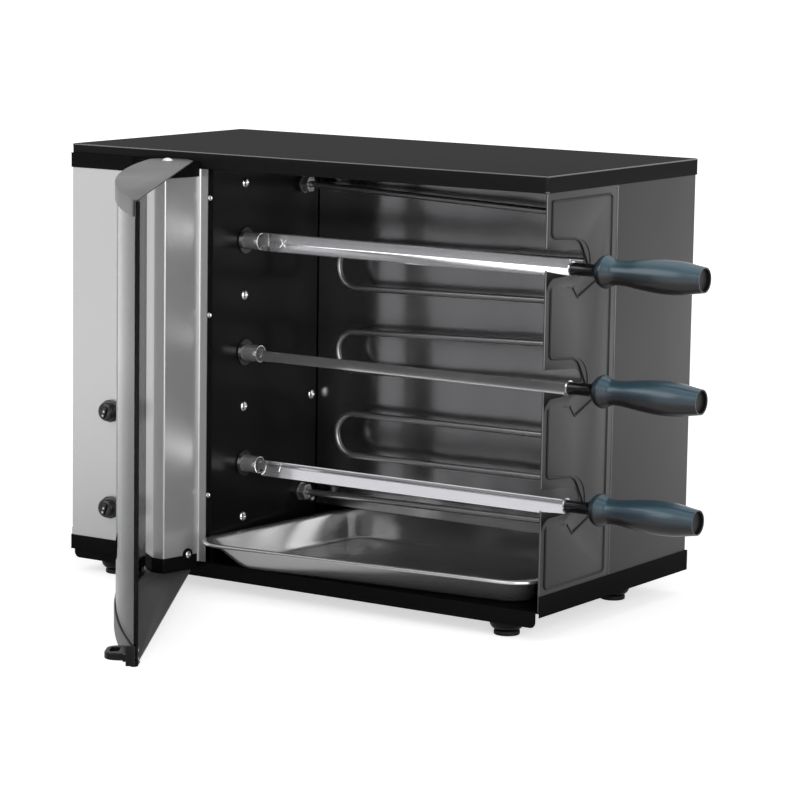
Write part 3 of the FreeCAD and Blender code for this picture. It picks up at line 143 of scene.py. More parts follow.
# ---- shader groups
def relief_group(name: str, scale: float, depth: float, detail: float, roughness: float,
                 distance: float) -> NodeTree:
    """Build a group that turns stretched noise into a mask and a bump.

    Args:
        name: Name of the group.
        scale: Default scale of the noise.
        depth: Default strength of the bump.
        detail: Octaves of the noise.
        roughness: Share that each octave keeps of the one before.
        distance: Height of the bump at full strength, in metres.

    Returns:
        A tree with outputs Mask and Normal.
    """
    stretches = [("Stretch " + axis, "NodeSocketFloat", 1.0) for axis in "XYZ"]
    tree = new_tree(name, "ShaderNodeTree",
                    stretches + [("Scale", "NodeSocketFloat", scale), ("Depth", "NodeSocketFloat", depth)],
                    [("Mask", "NodeSocketFloat"), ("Normal", "NodeSocketVector")])
    source = tree.nodes["In"].outputs
    where = add_node(tree, "ShaderNodeTexCoord")
    stretch = add_node(tree, "ShaderNodeCombineXYZ", {axis: source["Stretch " + axis] for axis in "XYZ"})
    scaled = add_node(tree, "ShaderNodeVectorMath",
                      {0: where.outputs["Object"], 1: stretch.outputs["Vector"]}, operation="MULTIPLY")
    noise = add_node(tree, "ShaderNodeTexNoise", {"Vector": scaled.outputs["Vector"], "Scale": source["Scale"],
                                                  "Detail": detail, "Roughness": roughness})
    bump = add_node(tree, "ShaderNodeBump", {"Height": noise.outputs["Fac"], "Strength": source["Depth"],
                                             "Distance": distance})
    fill(tree, tree.nodes["Out"], {"Mask": noise.outputs["Fac"], "Normal": bump.outputs["Normal"]})
    return tree


def smudge_group() -> NodeTree:
    """Build the group that gives broad, soft smudges between two values.

    Returns:
        A tree with output Value.
    """
    tree = new_tree("soft_smudges", "ShaderNodeTree",
                    [("Scale", "NodeSocketFloat", 8.0), ("Low", "NodeSocketFloat", 0.3),
                     ("High", "NodeSocketFloat", 0.4)], [("Value", "NodeSocketFloat")])
    source = tree.nodes["In"].outputs
    where = add_node(tree, "ShaderNodeTexCoord")
    noise = add_node(tree, "ShaderNodeTexNoise",
                     {"Vector": where.outputs["Object"], "Scale": source["Scale"], "Detail": 4.0})
    ramp = add_node(tree, "ShaderNodeMapRange",
                    {"Value": noise.outputs["Fac"], "From Min": 0.3, "From Max": 0.7,
                     "To Min": source["Low"], "To Max": source["High"]})
    fill(tree, tree.nodes["Out"], {"Value": ramp.outputs["Result"]})
    return tree


GRAIN = relief_group("stretched_grain", 400.0, 0.1, 3.0, 0.6, 0.0004)
WAVES = relief_group("sheet_waviness", 5.0, 0.2, 1.0, 0.5, 0.02)
SMUDGE = smudge_group()


# ---- finishes
def new_material(name: str) -> tuple[Material, NodeTree, Node]:
    """Start a material.

    Args:
        name: Name of the material.

    Returns:
        The material, its tree and its shader.
    """
    material = bpy.data.materials.new(name)
    material.use_nodes = True
    return material, material.node_tree, material.node_tree.nodes["Principled BSDF"]


def add_relief(tree: NodeTree, group: NodeTree, scale: float, depth: float,
               stretch: Triple) -> Node:
    """Add the grain or the waves to a material.

    Args:
        tree: The material's tree.
        group: GRAIN or WAVES.
        scale: Scale of the noise.
        depth: Strength of the bump.
        stretch: Factor on each axis of the noise.

    Returns:
        The node.
    """
    inputs = {"Stretch " + axis: value for axis, value in zip("XYZ", stretch)}
    return add_node(tree, "ShaderNodeGroup", {**inputs, "Scale": scale, "Depth": depth}, node_tree=group)


def add_blend(tree: NodeTree, factor: NodeSocket, dark: Triple,
              light: Triple) -> NodeSocket:
    """Blend two colours.

    Args:
        tree: The material's tree.
        factor: Socket with the share of the second colour.
        dark: First colour.
        light: Second colour.

    Returns:
        The socket with the colour.
    """
    blend = add_node(tree, "ShaderNodeMix", {MIX_FACTOR: factor, MIX_A: (*dark, 1.0), MIX_B: (*light, 1.0)},
                     data_type="RGBA")
    return blend.outputs[MIX_RESULT]


@dataclass(frozen=True)
class Finish:
    """A surface finish with grain in its colour, smudges in its roughness and a fine bump."""

    name: str
    dark: Triple
    light: Triple
    rough: Pair = (0.3, 0.4)
    metallic: float = 0.0
    grain_scale: float = 500.0
    grain_stretch: Triple = (1.0, 1.0, 1.0)
    grain_depth: float = 0.1
    smudge_scale: float = 9.0
    coat: float = 0.0
    coat_roughness: float = 0.1
    specular: float = 0.5
    wave_scale: float = 0.0
    wave_stretch: Triple = (1.0, 1.0, 1.0)
    wave_depth: float = 0.0

    def build(self) -> Material:
        """Make the Blender material and return it."""
        material, tree, shader = new_material(self.name)
        relief = grain = add_relief(tree, GRAIN, self.grain_scale, self.grain_depth, self.grain_stretch)
        if self.wave_scale > 0.0:
            relief = add_relief(tree, WAVES, self.wave_scale, self.wave_depth, self.wave_stretch)
        smudge = add_node(tree, "ShaderNodeGroup", {"Scale": self.smudge_scale, "Low": self.rough[0],
                                                    "High": self.rough[1]}, node_tree=SMUDGE)
        fill(tree, shader, {"Metallic": self.metallic, "Specular IOR Level": self.specular,
                            "Coat Weight": self.coat, "Coat Roughness": self.coat_roughness,
                            "Base Color": add_blend(tree, grain.outputs["Mask"], self.dark, self.light),
                            "Roughness": smudge.outputs["Value"], "Normal": relief.outputs["Normal"]})
        return material


def grey(name: str, dark: float, light: float, rough: Pair, **rest: object) -> Finish:
    """Describe a finish without hue.

    Args:
        name: Name of the material.
        dark: Level of the dark grain.
        light: Level of the light grain.
        rough: Least and greatest roughness.
        **rest: Other fields of the finish.

    Returns:
        The finish.
    """
    return Finish(name, (dark,) * 3, (light,) * 3, rough, **rest)


@dataclass(frozen=True)
class SmokedGlass:
    """Tinted glass that shows what is behind it."""

    name: str = "smoked_glass"
    tint: Triple = (0.24, 0.24, 0.25)
    drift: float = 1.03
    drift_scale: float = 30.0
    roughness: float = 0.0
    ior: float = 1.03
    coat: float = 0.22

    def build(self) -> Material:
        """Make the Blender material and return it."""
        material, tree, shader = new_material(self.name)
        grain = add_node(tree, "ShaderNodeGroup", {"Scale": self.drift_scale}, node_tree=GRAIN)
        second = tuple(self.drift * value for value in self.tint)
        fill(tree, shader, {"Transmission Weight": 1.0, "IOR": self.ior, "Coat Weight": self.coat,
                            "Roughness": self.roughness,
                            "Base Color": add_blend(tree, grain.outputs["Mask"], self.tint, second)})
        return material


@dataclass(frozen=True)
class GripCoatingWithPaintedSheen:
    """Blue-grey satin coating, a lighter blue on top as painted sheen and turning to brown below as painted
    shade.
    """

    name: str = "blue_grey_coating_painted_sheen"
    lit_top_blue: Triple = (0.034, 0.074, 0.100)
    shaded_under_brown: Triple = (0.014, 0.011, 0.011)
    # Upward part of the normal where the painted blend from the lit blue top to the shaded brown underside
    # starts and where it ends.
    turn: Pair = (0.75, -0.35)

    def build(self) -> Material:
        """Make the Blender material and return it."""
        material = Finish(self.name, self.lit_top_blue, self.shaded_under_brown, (0.30, 0.38), metallic=0.35, grain_scale=900.0,
                          grain_depth=0.12, coat=0.5, coat_roughness=0.22, specular=0.25).build()
        tree = material.node_tree
        # Painted sheen and shade: the colour runs from lit blue on top to shaded brown below, by which way the
        # surface faces.
        shape = add_node(tree, "ShaderNodeNewGeometry")
        split = add_node(tree, "ShaderNodeSeparateXYZ", {"Vector": shape.outputs["Normal"]})
        share = add_node(tree, "ShaderNodeMapRange", {"Value": split.outputs["Z"], "From Min": self.turn[0],
                                                      "From Max": self.turn[1]})
        blend = next(node for node in tree.nodes if node.type == "MIX")
        fill(tree, blend, {MIX_FACTOR: share.outputs["Result"]})
        return material


class Palette(Enum):
    """Every finish the oven uses."""

    BLACK_PAINT = grey("black_paint", 0.009, 0.013, (0.45, 0.55), grain_scale=700.0, coat=0.09,
                       coat_roughness=0.22, specular=0.0)
    BASE_PAINT = grey("base_paint", 0.004, 0.007, (0.45, 0.55), grain_scale=700.0, coat=0.06,
                      coat_roughness=0.25, specular=0.0)
    # The side paint is a lighter copy of the black paint: painted light from the side on the side panels.
    SIDE_PAINT_WITH_PAINTED_LIGHT = grey("side_paint_with_painted_light", 0.012, 0.018, (0.34, 0.42), grain_scale=900.0, grain_depth=0.16)
    # Near-black beads: painted shade of the pressed grooves round the slots.
    BEAD_PAINTED_SHADE = grey("bead_painted_shade", 0.004, 0.006, (0.30, 0.38), grain_scale=900.0, grain_depth=0.0,
                      specular=0.25)
    # Glossier, lighter copy of the black paint on the hems and the seam line; the gloss is the paint's own, the
    # lighter colour is a painted highlight.
    HEM_PAINTED_HIGHLIGHT = grey("hem_painted_highlight", 0.020, 0.028, (0.16, 0.24), grain_scale=900.0, grain_depth=0.0,
                     specular=0.8, coat=0.5)
    INNER_PAINT = grey("inner_black", 0.003, 0.005, (0.30, 0.40), grain_scale=600.0, grain_depth=0.06,
                       coat=0.10, coat_roughness=0.15, specular=0.05)
    DOOR_STEEL = grey("door_steel", 0.075, 0.11, (0.38, 0.46), metallic=0.3, grain_stretch=(1.0, 1.0, 0.1),
                      grain_depth=0.05, specular=0.1)
    FASCIA_STEEL = grey("fascia_steel", 0.49, 0.50, (0.265, 0.27), metallic=0.6, grain_scale=110.0,
                        grain_stretch=(6.0, 6.0, 0.05), grain_depth=0.0, specular=0.3)
    MIRROR_STEEL = grey("mirror_steel", 0.34, 0.38, (0.18, 0.24), metallic=1.0, wave_scale=9.0,
                        wave_stretch=(1.0, 1.0, 0.10), wave_depth=1.0)
    PAN_STEEL = grey("pan_steel", 0.56, 0.64, (0.16, 0.24), metallic=0.85, wave_scale=6.0, wave_depth=0.05)
    BLADE_STEEL = Finish("blade_steel", (0.74, 0.74, 0.75), (0.80, 0.80, 0.81), (0.09, 0.12), metallic=0.85,
                         grain_scale=300.0, grain_stretch=(0.1, 6.0, 6.0), grain_depth=0.0)
    ELEMENT_STEEL = grey("element_steel", 0.30, 0.38, (0.26, 0.34), metallic=0.85, grain_depth=0.08)
    PLAIN_STEEL = grey("plain_steel", 0.45, 0.55, (0.3, 0.4), metallic=1.0)
    BRIGHT_ZINC = grey("bright_zinc", 0.74, 0.82, (0.16, 0.24), metallic=1.0)
    BLACK_METAL = Finish("black_metal", (0.006, 0.006, 0.007), (0.010, 0.010, 0.011), (0.14, 0.20),
                         specular=0.35)
    GLOSS_PLASTIC = grey("gloss_plastic", 0.003, 0.005, (0.10, 0.16), grain_depth=0.03, specular=0.4)
    WHITE_MARK = Finish("white_mark", (0.62, 0.62, 0.61), (0.70, 0.70, 0.69))
    MOULDING = grey("black_moulding", 0.005, 0.008, (0.22, 0.30), grain_depth=0.12, specular=0.12)
    RUBBER = grey("black_rubber", 0.008, 0.014, (0.45, 0.58), grain_depth=0.25, specular=0.15)
    GRIP = GripCoatingWithPaintedSheen()
    GLASS = SmokedGlass()


MATERIALS: dict[str, Material] = {}


def finish_of(choice: Palette) -> Material:
    """Return the material of a finish, built on first use.

    Args:
        choice: The finish.

    Returns:
        Its material.
    """
    if choice.name not in MATERIALS:
        MATERIALS[choice.name] = choice.value.build()
    return MATERIALS[choice.name]


# ---- mesh helpers
Shell = tuple[list[Vector], list[list[int]]]
# Distance under which points of a CAD mesh, and of a new mesh, are one, in metres.
MERGE_M = 2e-6
NEW_MERGE_M = 1e-6
# Turn under which two faces of a CAD mesh are one.
FLAT_DEGREES = 0.4
# Steps and fullness of the rounds on edges.
ROUND_STEPS = 2
ROUND_FULLNESS = 0.6


def link_object(name: str, data: ID) -> Object:
    """Put data in the scene as an object.

    Args:
        name: Name of the object.
        data: Its mesh, lamp or camera.

    Returns:
        The object.
    """
    made = bpy.data.objects.new(name, data)
    bpy.context.scene.collection.objects.link(made)
    return made


def applied(source: Object) -> Mesh:
    """Return a plain mesh of an object with its modifiers applied."""
    return bpy.data.meshes.new_from_object(source.evaluated_get(bpy.context.evaluated_depsgraph_get()))


def add_piece(name: str, mesh: Mesh, choice: Palette) -> Object:
    """Put a mesh in the scene as a piece with one finish.

    Args:
        name: Name of the piece.
        mesh: Its mesh, in the frame.
        choice: Its finish.

    Returns:
        The piece.
    """
    mesh.materials.clear()
    mesh.materials.append(finish_of(choice))
    return link_object(name, mesh)


def hang(piece: Object, body: str, node: str | None = None) -> None:
    """Hang a piece on its body.

    Args:
        piece: The piece.
        body: Body that it rides on.
        node: CAD node that it replaces, if any.
    """
    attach(piece, body)
    if node:
        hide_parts(node)


def smooth_by_angle(mesh: Mesh, degrees: float) -> None:
    """Shade a mesh smooth, with hard edges where it turns by more than an angle.

    Args:
        mesh: The mesh.
        degrees: The angle.
    """
    mesh.shade_smooth()
    mesh.set_sharp_from_angle(angle=math.radians(degrees))


def refine_node(node: str, choice: Palette, body: str, edge_mm: float = 0.0,
                hard_degrees: float = 32.0) -> None:
    """Replace a CAD node by a merged, smooth copy of itself, with small rounds on its edges.

    Args:
        node: Name of the CAD node.
        choice: Finish of the copy.
        body: Body that it rides on.
        edge_mm: Size of the rounds, or 0 for none.
        hard_degrees: Angle above which an edge counts as an edge.
    """
    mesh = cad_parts[node].data.copy()
    work = bmesh.new()
    work.from_mesh(mesh)
    bmesh.ops.remove_doubles(work, verts=work.verts, dist=MERGE_M)
    bmesh.ops.dissolve_limit(work, angle_limit=math.radians(FLAT_DEGREES), verts=work.verts, edges=work.edges)
    if edge_mm > 0.0:
        limit = math.radians(hard_degrees)
        edges = [e for e in work.edges if len(e.link_faces) == 2 and e.calc_face_angle(0.0) > limit]
        bmesh.ops.bevel(work, geom=edges, offset=edge_mm / 1000.0, segments=ROUND_STEPS,
                        profile=ROUND_FULLNESS, affect="EDGES", clamp_overlap=True)
    work.to_mesh(mesh)
    work.free()
    smooth_by_angle(mesh, hard_degrees)
    hang(add_piece(node + "_shown", mesh, choice), body, node)


def refine_nodes(body: Body, table: tuple[tuple[str, Palette, float], ...]) -> None:
    """Replace several CAD nodes of one body.

    Args:
        body: The body.
        table: Name, finish and size of the rounds of each node.
    """
    for node, choice, edge_mm in table:
        refine_node(node, choice, body.value, edge_mm)


def dress(node: str, choice: Palette) -> None:
    """Give a CAD node that stays a finish.

    Args:
        node: Name of the node.
        choice: The finish.
    """
    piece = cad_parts[node]
    piece.data.materials.clear()
    piece.data.materials.append(finish_of(choice))


def new_mesh(name: str, verts: list[Vector], faces: list[list[int]], hard_degrees: float = 35.0,
             turn_outwards: bool = True) -> Mesh:
    """Make a mesh from points in the frame.

    Args:
        name: Name of the mesh.
        verts: Its points.
        faces: Its faces, as indices of points.
        hard_degrees: Angle above which an edge is shaded hard.
        turn_outwards: Whether to recalculate the normals of the closed shell.

    Returns:
        The mesh.
    """
    mesh = bpy.data.meshes.new(name)
    mesh.from_pydata([tuple(v) for v in verts], [], faces)
    work = bmesh.new()
    work.from_mesh(mesh)
    bmesh.ops.remove_doubles(work, verts=work.verts, dist=NEW_MERGE_M)
    if turn_outwards:
        bmesh.ops.recalc_face_normals(work, faces=work.faces)
    work.to_mesh(mesh)
    work.free()
    smooth_by_angle(mesh, hard_degrees)
    return mesh


def circle(count: int, radius: float = 1.0) -> list[Pair]:
    """Return evenly spaced points of a circle."""
    return [(radius * math.cos(a), radius * math.sin(a)) for a in (math.tau * i / count for i in range(count))]


def joined(parts: list[Shell]) -> Shell:
    """Join shells into one list of points and one of faces.

    Args:
        parts: Points and faces of each shell.

    Returns:
        Points and faces.
    """
    verts, faces = [], []
    for part_verts, part_faces in parts:
        faces += [[len(verts) + i for i in face] for face in part_faces]
        verts += part_verts
    return verts, faces


def loft(rings: list[list[Vector]], closed_ends: bool = True) -> Shell:
    """Skin a row of closed rings that have the same number of points.

    Args:
        rings: The rings.
        closed_ends: Whether the first and last ring get a face.

    Returns:
        Points and faces.
    """
    count = len(rings[0])
    last = (len(rings) - 1) * count
    verts = [point for ring in rings for point in ring]
    faces = [[a + i, a + (i + 1) % count, a + count + (i + 1) % count, a + count + i]
             for a in range(0, last, count) for i in range(count)]
    if closed_ends:
        faces.append(list(range(count))[::-1])
        faces.append([last + i for i in range(count)])
    return verts, faces


def smooth_stations(stations: list[Pair], steps: int) -> list[Pair]:
    """Run a Catmull-Rom curve through a few stations.

    Args:
        stations: Pairs of place and radius.
        steps: Points for each span.

    Returns:
        Pairs along the curve.
    """
    points = [stations[0], *stations, stations[-1]]
    curve = []
    for i in range(1, len(points) - 2):
        p0, p1, p2, p3 = (Vector(points[i + k]) for k in (-1, 0, 1, 2))
        for step in range(steps):
            t = step / steps
            value = 0.5 * (2 * p1 + (p2 - p0) * t + (2 * p0 - 5 * p1 + 4 * p2 - p3) * t * t
                           + (3 * p1 - p0 - 3 * p2 + p3) * t ** 3)
            curve.append((value.x, value.y))
    curve.append(stations[-1])
    return curve


# ---- geometry node trees
GEOMETRY_SOCKET = ("Geometry", "NodeSocketGeometry")
FINISH_SOCKET = ("Finish", "NodeSocketMaterial")
BEND_STEPS = 10
TUBE_SIDES = 20


def facing_rows_tree() -> NodeTree:
    """Build the tree that puts a small part on every point, turned to the point's facing.

    Returns:
        The tree, with inputs Part, Size and Finish.
    """
    tree = new_tree("facing_rows", "GeometryNodeTree",
                    [GEOMETRY_SOCKET, ("Part", "NodeSocketObject"), ("Size", "NodeSocketFloat"), FINISH_SOCKET],
                    [GEOMETRY_SOCKET])
    source = tree.nodes["In"].outputs
    part = add_node(tree, "GeometryNodeObjectInfo", {"Object": source["Part"]})
    facing = add_node(tree, "GeometryNodeInputNamedAttribute", {"Name": "facing"}, data_type="FLOAT_VECTOR")
    align = add_node(tree, "FunctionNodeAlignRotationToVector", {"Vector": facing.outputs["Attribute"]},
                     axis="Z")
    spread = add_node(tree, "GeometryNodeInstanceOnPoints",
                      {"Points": source["Geometry"], "Instance": part.outputs["Geometry"],
                       "Rotation": align.outputs["Rotation"], "Scale": source["Size"]})
    finish_tree(tree, spread.outputs["Instances"])
    return tree


def bent_tube_tree() -> NodeTree:
    """Build the tree that turns rows of corners into round tubes with tangent bends.

    Returns:
        The tree, with inputs Radius and Finish.
    """
    tree = new_tree("bent_tube", "GeometryNodeTree",
                    [GEOMETRY_SOCKET, ("Radius", "NodeSocketFloat"), FINISH_SOCKET], [GEOMETRY_SOCKET])
    source = tree.nodes["In"].outputs
    line = add_node(tree, "GeometryNodeMeshToCurve", {"Mesh": source["Geometry"]})
    bend = add_node(tree, "GeometryNodeInputNamedAttribute", {"Name": "bend"}, data_type="FLOAT")
    fillet = add_node(tree, "GeometryNodeFilletCurve")
    # The number of points of a bend is an input only once the mode is set.
    if "Mode" in fillet.inputs:
        fillet.inputs["Mode"].default_value = "Poly"
    else:
        fillet.mode = "POLY"
    fill(tree, fillet, {"Curve": line.outputs["Curve"], "Count": BEND_STEPS,
                        "Radius": bend.outputs["Attribute"]})
    section = add_node(tree, "GeometryNodeCurvePrimitiveCircle",
                       {"Resolution": TUBE_SIDES, "Radius": source["Radius"]})
    sweep = add_node(tree, "GeometryNodeCurveToMesh",
                     {"Curve": fillet.outputs["Curve"], "Profile Curve": section.outputs["Curve"],
                      "Fill Caps": True})
    finish_tree(tree, sweep.outputs["Mesh"])
    return tree


def finish_tree(tree: NodeTree, shape: NodeSocket) -> None:
    """End a geometry tree with its instances made real and its material set.

    Args:
        tree: The tree.
        shape: The socket with the shape.
    """
    real = add_node(tree, "GeometryNodeRealizeInstances", {"Geometry": shape})
    coat = add_node(tree, "GeometryNodeSetMaterial", {"Geometry": real.outputs["Geometry"],
                                                      "Material": tree.nodes["In"].outputs["Finish"]})
    fill(tree, tree.nodes["Out"], {"Geometry": coat.outputs["Geometry"]})


ROWS_TREE = facing_rows_tree()
TUBE_TREE = bent_tube_tree()


def grow(tree: NodeTree, seed_mesh: Mesh, values: dict[str, object], name: str,
         choice: Palette, hard_degrees: float) -> Object:
    """Run a geometry tree on a mesh and keep the result as a plain piece.

    Args:
        tree: The tree.
        seed_mesh: The mesh it starts from.
        values: The tree's inputs by name, apart from Finish.
        name: Name of the piece.
        choice: Finish of the piece.
        hard_degrees: Angle above which an edge is shaded hard.

    Returns:
        The piece.
    """
    values = {**values, "Finish": finish_of(choice)}
    seed = link_object(name + "_seed", seed_mesh)
    modifier = seed.modifiers.new("rule", "NODES")
    modifier.node_group = tree
    for item in tree.interface.items_tree:
        if item.item_type == "SOCKET" and item.in_out == "INPUT" and item.name in values:
            modifier[item.identifier] = values[item.name]
    result = applied(seed)
    seed.modifiers.remove(modifier)
    bpy.data.objects.remove(seed)
    result.name = name
    for attribute in [a.name for a in result.attributes if a.name in ("facing", "bend")]:
        result.attributes.remove(result.attributes[attribute])
    smooth_by_angle(result, hard_degrees)
    return add_piece(name, result, choice)


def points_facing(name: str, spots: list[tuple[Vector, Vector]]) -> Mesh:
    """Make a mesh of loose points that know which way they face.

    Args:
        name: Name of the mesh.
        spots: Place and facing of each point.

    Returns:
        The mesh.
    """
    mesh = bpy.data.meshes.new(name)
    mesh.from_pydata([tuple(spot) for spot, _ in spots], [], [])
    layer = mesh.attributes.new("facing", "FLOAT_VECTOR", "POINT")
    for item, (_, facing) in zip(layer.data, spots):
        item.vector = facing.normalized()
    return mesh


def bend_rods(name: str, runs: list[list[Quad]], radius_mm: float, choice: Palette,
              node: str | None = None) -> None:
    """Bend round rods along several runs, as one piece on the cabinet.

    Args:
        name: Name of the piece.
        runs: Corners of each run: a place and its bend, in millimetres.
        radius_mm: Radius of the rods.
        choice: Finish of the rods.
        node: CAD node that the rods replace, if any.
    """
    verts, edges, bends = [], [], []
    for run in runs:
        edges += [(len(verts) + i, len(verts) + i + 1) for i in range(len(run) - 1)]
        verts += [tuple(place(x, y, z)) for x, y, z, _ in run]
        bends += [bend / 1000.0 for *_, bend in run]
    mesh = bpy.data.meshes.new(name + "_corners")
    mesh.from_pydata(verts, edges, [])
    layer = mesh.attributes.new("bend", "FLOAT", "POINT")
    for item, bend in zip(layer.data, bends):
        item.value = bend
    rods = grow(TUBE_TREE, mesh, {"Radius": radius_mm / 1000.0}, name, choice, 60.0)
    hang(rods, Body.CABINET.value, node)


@dataclass
class ScrewHead:
    """Pan head with a cross recess, one unit in radius."""

    height: float = 0.44
    recess_width: float = 0.26
    recess_length: float = 1.15
    recess_depth: float = 0.30
    sides: int = 28

    def build(self) -> Object:
        """Build the head as a template that isn't shown, and return it."""
        profile = [(1.0, 0.0), (1.0, 0.12), (0.93, 0.24), (0.78, 0.34), (0.55, 0.41), (0.25, self.height)]
        rings = [[Vector((x, y, z)) for x, y in circle(self.sides, r)] for r, z in profile]
        head = link_object("screw_head", new_mesh("screw_head", *loft(rings)))
        cutters = [self.add_cutter(head, self.recess_length, self.recess_width),
                   self.add_cutter(head, self.recess_width, self.recess_length)]
        mesh = applied(head)
        head.modifiers.clear()
        head.data = mesh
        for cutter in cutters:
            bpy.data.objects.remove(cutter)
        return head

    def add_cutter(self, head: Object, length: float, width: float) -> Object:
        """Add one bar of the cross as a cutter of the head.

        Args:
            head: The head.
            length: Size along X.
            width: Size along Y.

        Returns:
            The cutter.
        """
        work = bmesh.new()
        bmesh.ops.create_cube(work, size=1.0)
        floor = self.height - self.recess_depth
        for vert in work.verts:
            vert.co = Vector((vert.co.x * length, vert.co.y * width, floor + (vert.co.z + 0.5)))
        mesh = bpy.data.meshes.new("recess")
        work.to_mesh(mesh)
        work.free()
        cutter = link_object("recess", mesh)
        cut = head.modifiers.new("recess", "BOOLEAN")
        cut.operation = "DIFFERENCE"
        cut.object = cutter
        return cutter


# ---- sub-assemblies
@dataclass
class Cabinet:
    """Painted shell, inner sheets, feet and louvres."""

    nodes: tuple[tuple[str, Palette, float], ...] = (
        ("base_pan", Palette.BASE_PAINT, 0.35), ("top_cover", Palette.BLACK_PAINT, 0.35),
        ("left_side_panel", Palette.SIDE_PAINT_WITH_PAINTED_LIGHT, 0.35), ("rear_wrap_panel", Palette.SIDE_PAINT_WITH_PAINTED_LIGHT, 0.35),
        ("right_front_panel", Palette.SIDE_PAINT_WITH_PAINTED_LIGHT, 0.35), ("inner_deck", Palette.INNER_PAINT, 0.0),
        ("cavity_left_wall", Palette.INNER_PAINT, 0.0), ("rear_reflector", Palette.MIRROR_STEEL, 0.0),
        ("foot_pads", Palette.RUBBER, 0.0), ("foot_bowls", Palette.MOULDING, 0.0),
        ("cord_bush", Palette.RUBBER, 0.0))
    # Length, reach and rise of one hood, then where the hoods are.
    louvre_mm: Triple = (38.0, 2.2, 7.0)
    louvre_x_mm: tuple[float, ...] = (60.0, 110.0)
    louvre_y_mm: float = 287.0
    louvre_z_mm: tuple[float, ...] = (302.0, 316.0, 330.0, 344.0, 358.0, 372.0)

    def build(self) -> None:
        """Build and dress every piece of the cabinet."""
        refine_nodes(Body.CABINET, self.nodes)
        self.add_louvres()
        LOG.info("cabinet built")

    def add_louvres(self) -> None:
        """Add a pressed hood over every vent of the back."""
        half, reach, rise = self.louvre_mm[0] / 2000.0, self.louvre_mm[1] / 1000.0, self.louvre_mm[2] / 1000.0
        rings = []
        for share, swell in ((-1.0, 0.15), (-0.93, 0.8), (-0.84, 1.0), (0.84, 1.0), (0.93, 0.8), (1.0, 0.15)):
            outside = [(-rise * 0.5 + rise * t, reach * swell * (1.0 - t ** 1.6) + 0.0001)
                       for t in (0.0, 0.25, 0.5, 0.75, 1.0)]
            rings.append([Vector((half * share, up, out))
                          for up, out in outside + [(rise * 0.5, -0.0003), (-rise * 0.5, -0.0003)]])
        hood = link_object("hood", new_mesh("hood", *loft(rings), 60.0))
        spots = [(place(x, self.louvre_y_mm, z), Vector((0.0, 1.0, 0.0)))
                 for x in self.louvre_x_mm for z in self.louvre_z_mm]
        louvres = grow(ROWS_TREE, points_facing("louvre_points", spots), {"Part": hood, "Size": 1.0},
                       "back_louvres", Palette.BLACK_PAINT, 60.0)
        bpy.data.objects.remove(hood)
        hang(louvres, Body.CABINET.value)


@dataclass
class PanelBeads:
    """Thin beads pressed round the slots of the right side, painted near black as shade of the grooves, and the
    rolled hems of the shell with its seam line, painted lighter as highlight.
    """

    face_x_mm: float = 559.4
    front_y_mm: float = 10.0
    rear_y_mm: float = 119.0
    low_z_mm: float = 50.0
    high_z_mm: float = 414.0
    field_bend_mm: float = 4.0
    slot_z_mm: tuple[float, ...] = (123.0, 235.5, 348.0)
    slot_foot_mm: float = 11.5
    # From one slot's axis: distance behind the front plane, height and bend of the bead over it.
    over_mm: tuple[Triple, ...] = ((10.0, 32.4, 5.0), (60.0, 27.8, 19.0), (80.5, -4.0, 0.0))
    under_mm: tuple[Triple, ...] = ((49.0, -17.5, 0.0), (58.0, -27.0, 1.5),
                                                        (92.0, -14.5, 0.0))
    bead_mm: float = 1.25
    hem_mm: float = 0.8
    # Lower and upper edge of the cover, and the two upright edges of the right side.
    cover_z_mm: Pair = (422.8, 437.0)
    cover_corners_mm: tuple[Triple, ...] = ((1.0, 0.8, 0.0), (559.2, 0.8, 1.0),
                                                                (559.2, 286.0, 0.0))
    seam_mm: Quad = (558.6, 130.9, 45.0, 421.0)
    front_edge_mm: Pair = (558.2, 1.7)
    front_spans_mm: tuple[Pair, ...] = ((45.0, 126.0), (146.5, 238.5), (259.0, 351.0),
                                                       (371.5, 421.5))

    def build(self) -> None:
        """Build the beads and hems."""
        bend_rods("panel_beads", self.beads(), self.bead_mm, Palette.BEAD_PAINTED_SHADE)
        bend_rods("shell_hems", self.hems(), self.hem_mm, Palette.HEM_PAINTED_HIGHLIGHT)
        LOG.info("beads and hems built")

    def beads(self) -> list[list[Quad]]:
        """Return the beads' corners, each with its bend."""
        x, front, rear, bend = self.face_x_mm, self.front_y_mm, self.rear_y_mm, self.field_bend_mm
        starts = [z - self.slot_foot_mm for z in self.slot_z_mm[1:]] + [self.high_z_mm]
        runs = []
        for axis, start in zip(self.slot_z_mm, starts):
            runs.append([(x, front, start, 0.0)] + [(x, y, axis + z, turn) for y, z, turn in self.over_mm])
            runs.append([(x, y, axis + z, turn) for y, z, turn in self.under_mm])
        runs.append([(x, front, self.slot_z_mm[0] - self.slot_foot_mm, 0.0), (x, front, self.low_z_mm, bend),
                     (x, rear, self.low_z_mm, bend), (x, rear, self.high_z_mm, bend),
                     (x, front, self.high_z_mm, 0.0)])
        return runs

    def hems(self) -> list[list[Quad]]:
        """Return the hems' corners, each with its bend."""
        seam_x, seam_y, *seam_z = self.seam_mm
        return [*[[(x, y, z, bend) for x, y, bend in self.cover_corners_mm] for z in self.cover_z_mm],
                [(seam_x, seam_y, z, 0.0) for z in seam_z],
                *[[(*self.front_edge_mm, z, 0.0) for z in span] for span in self.front_spans_mm]]


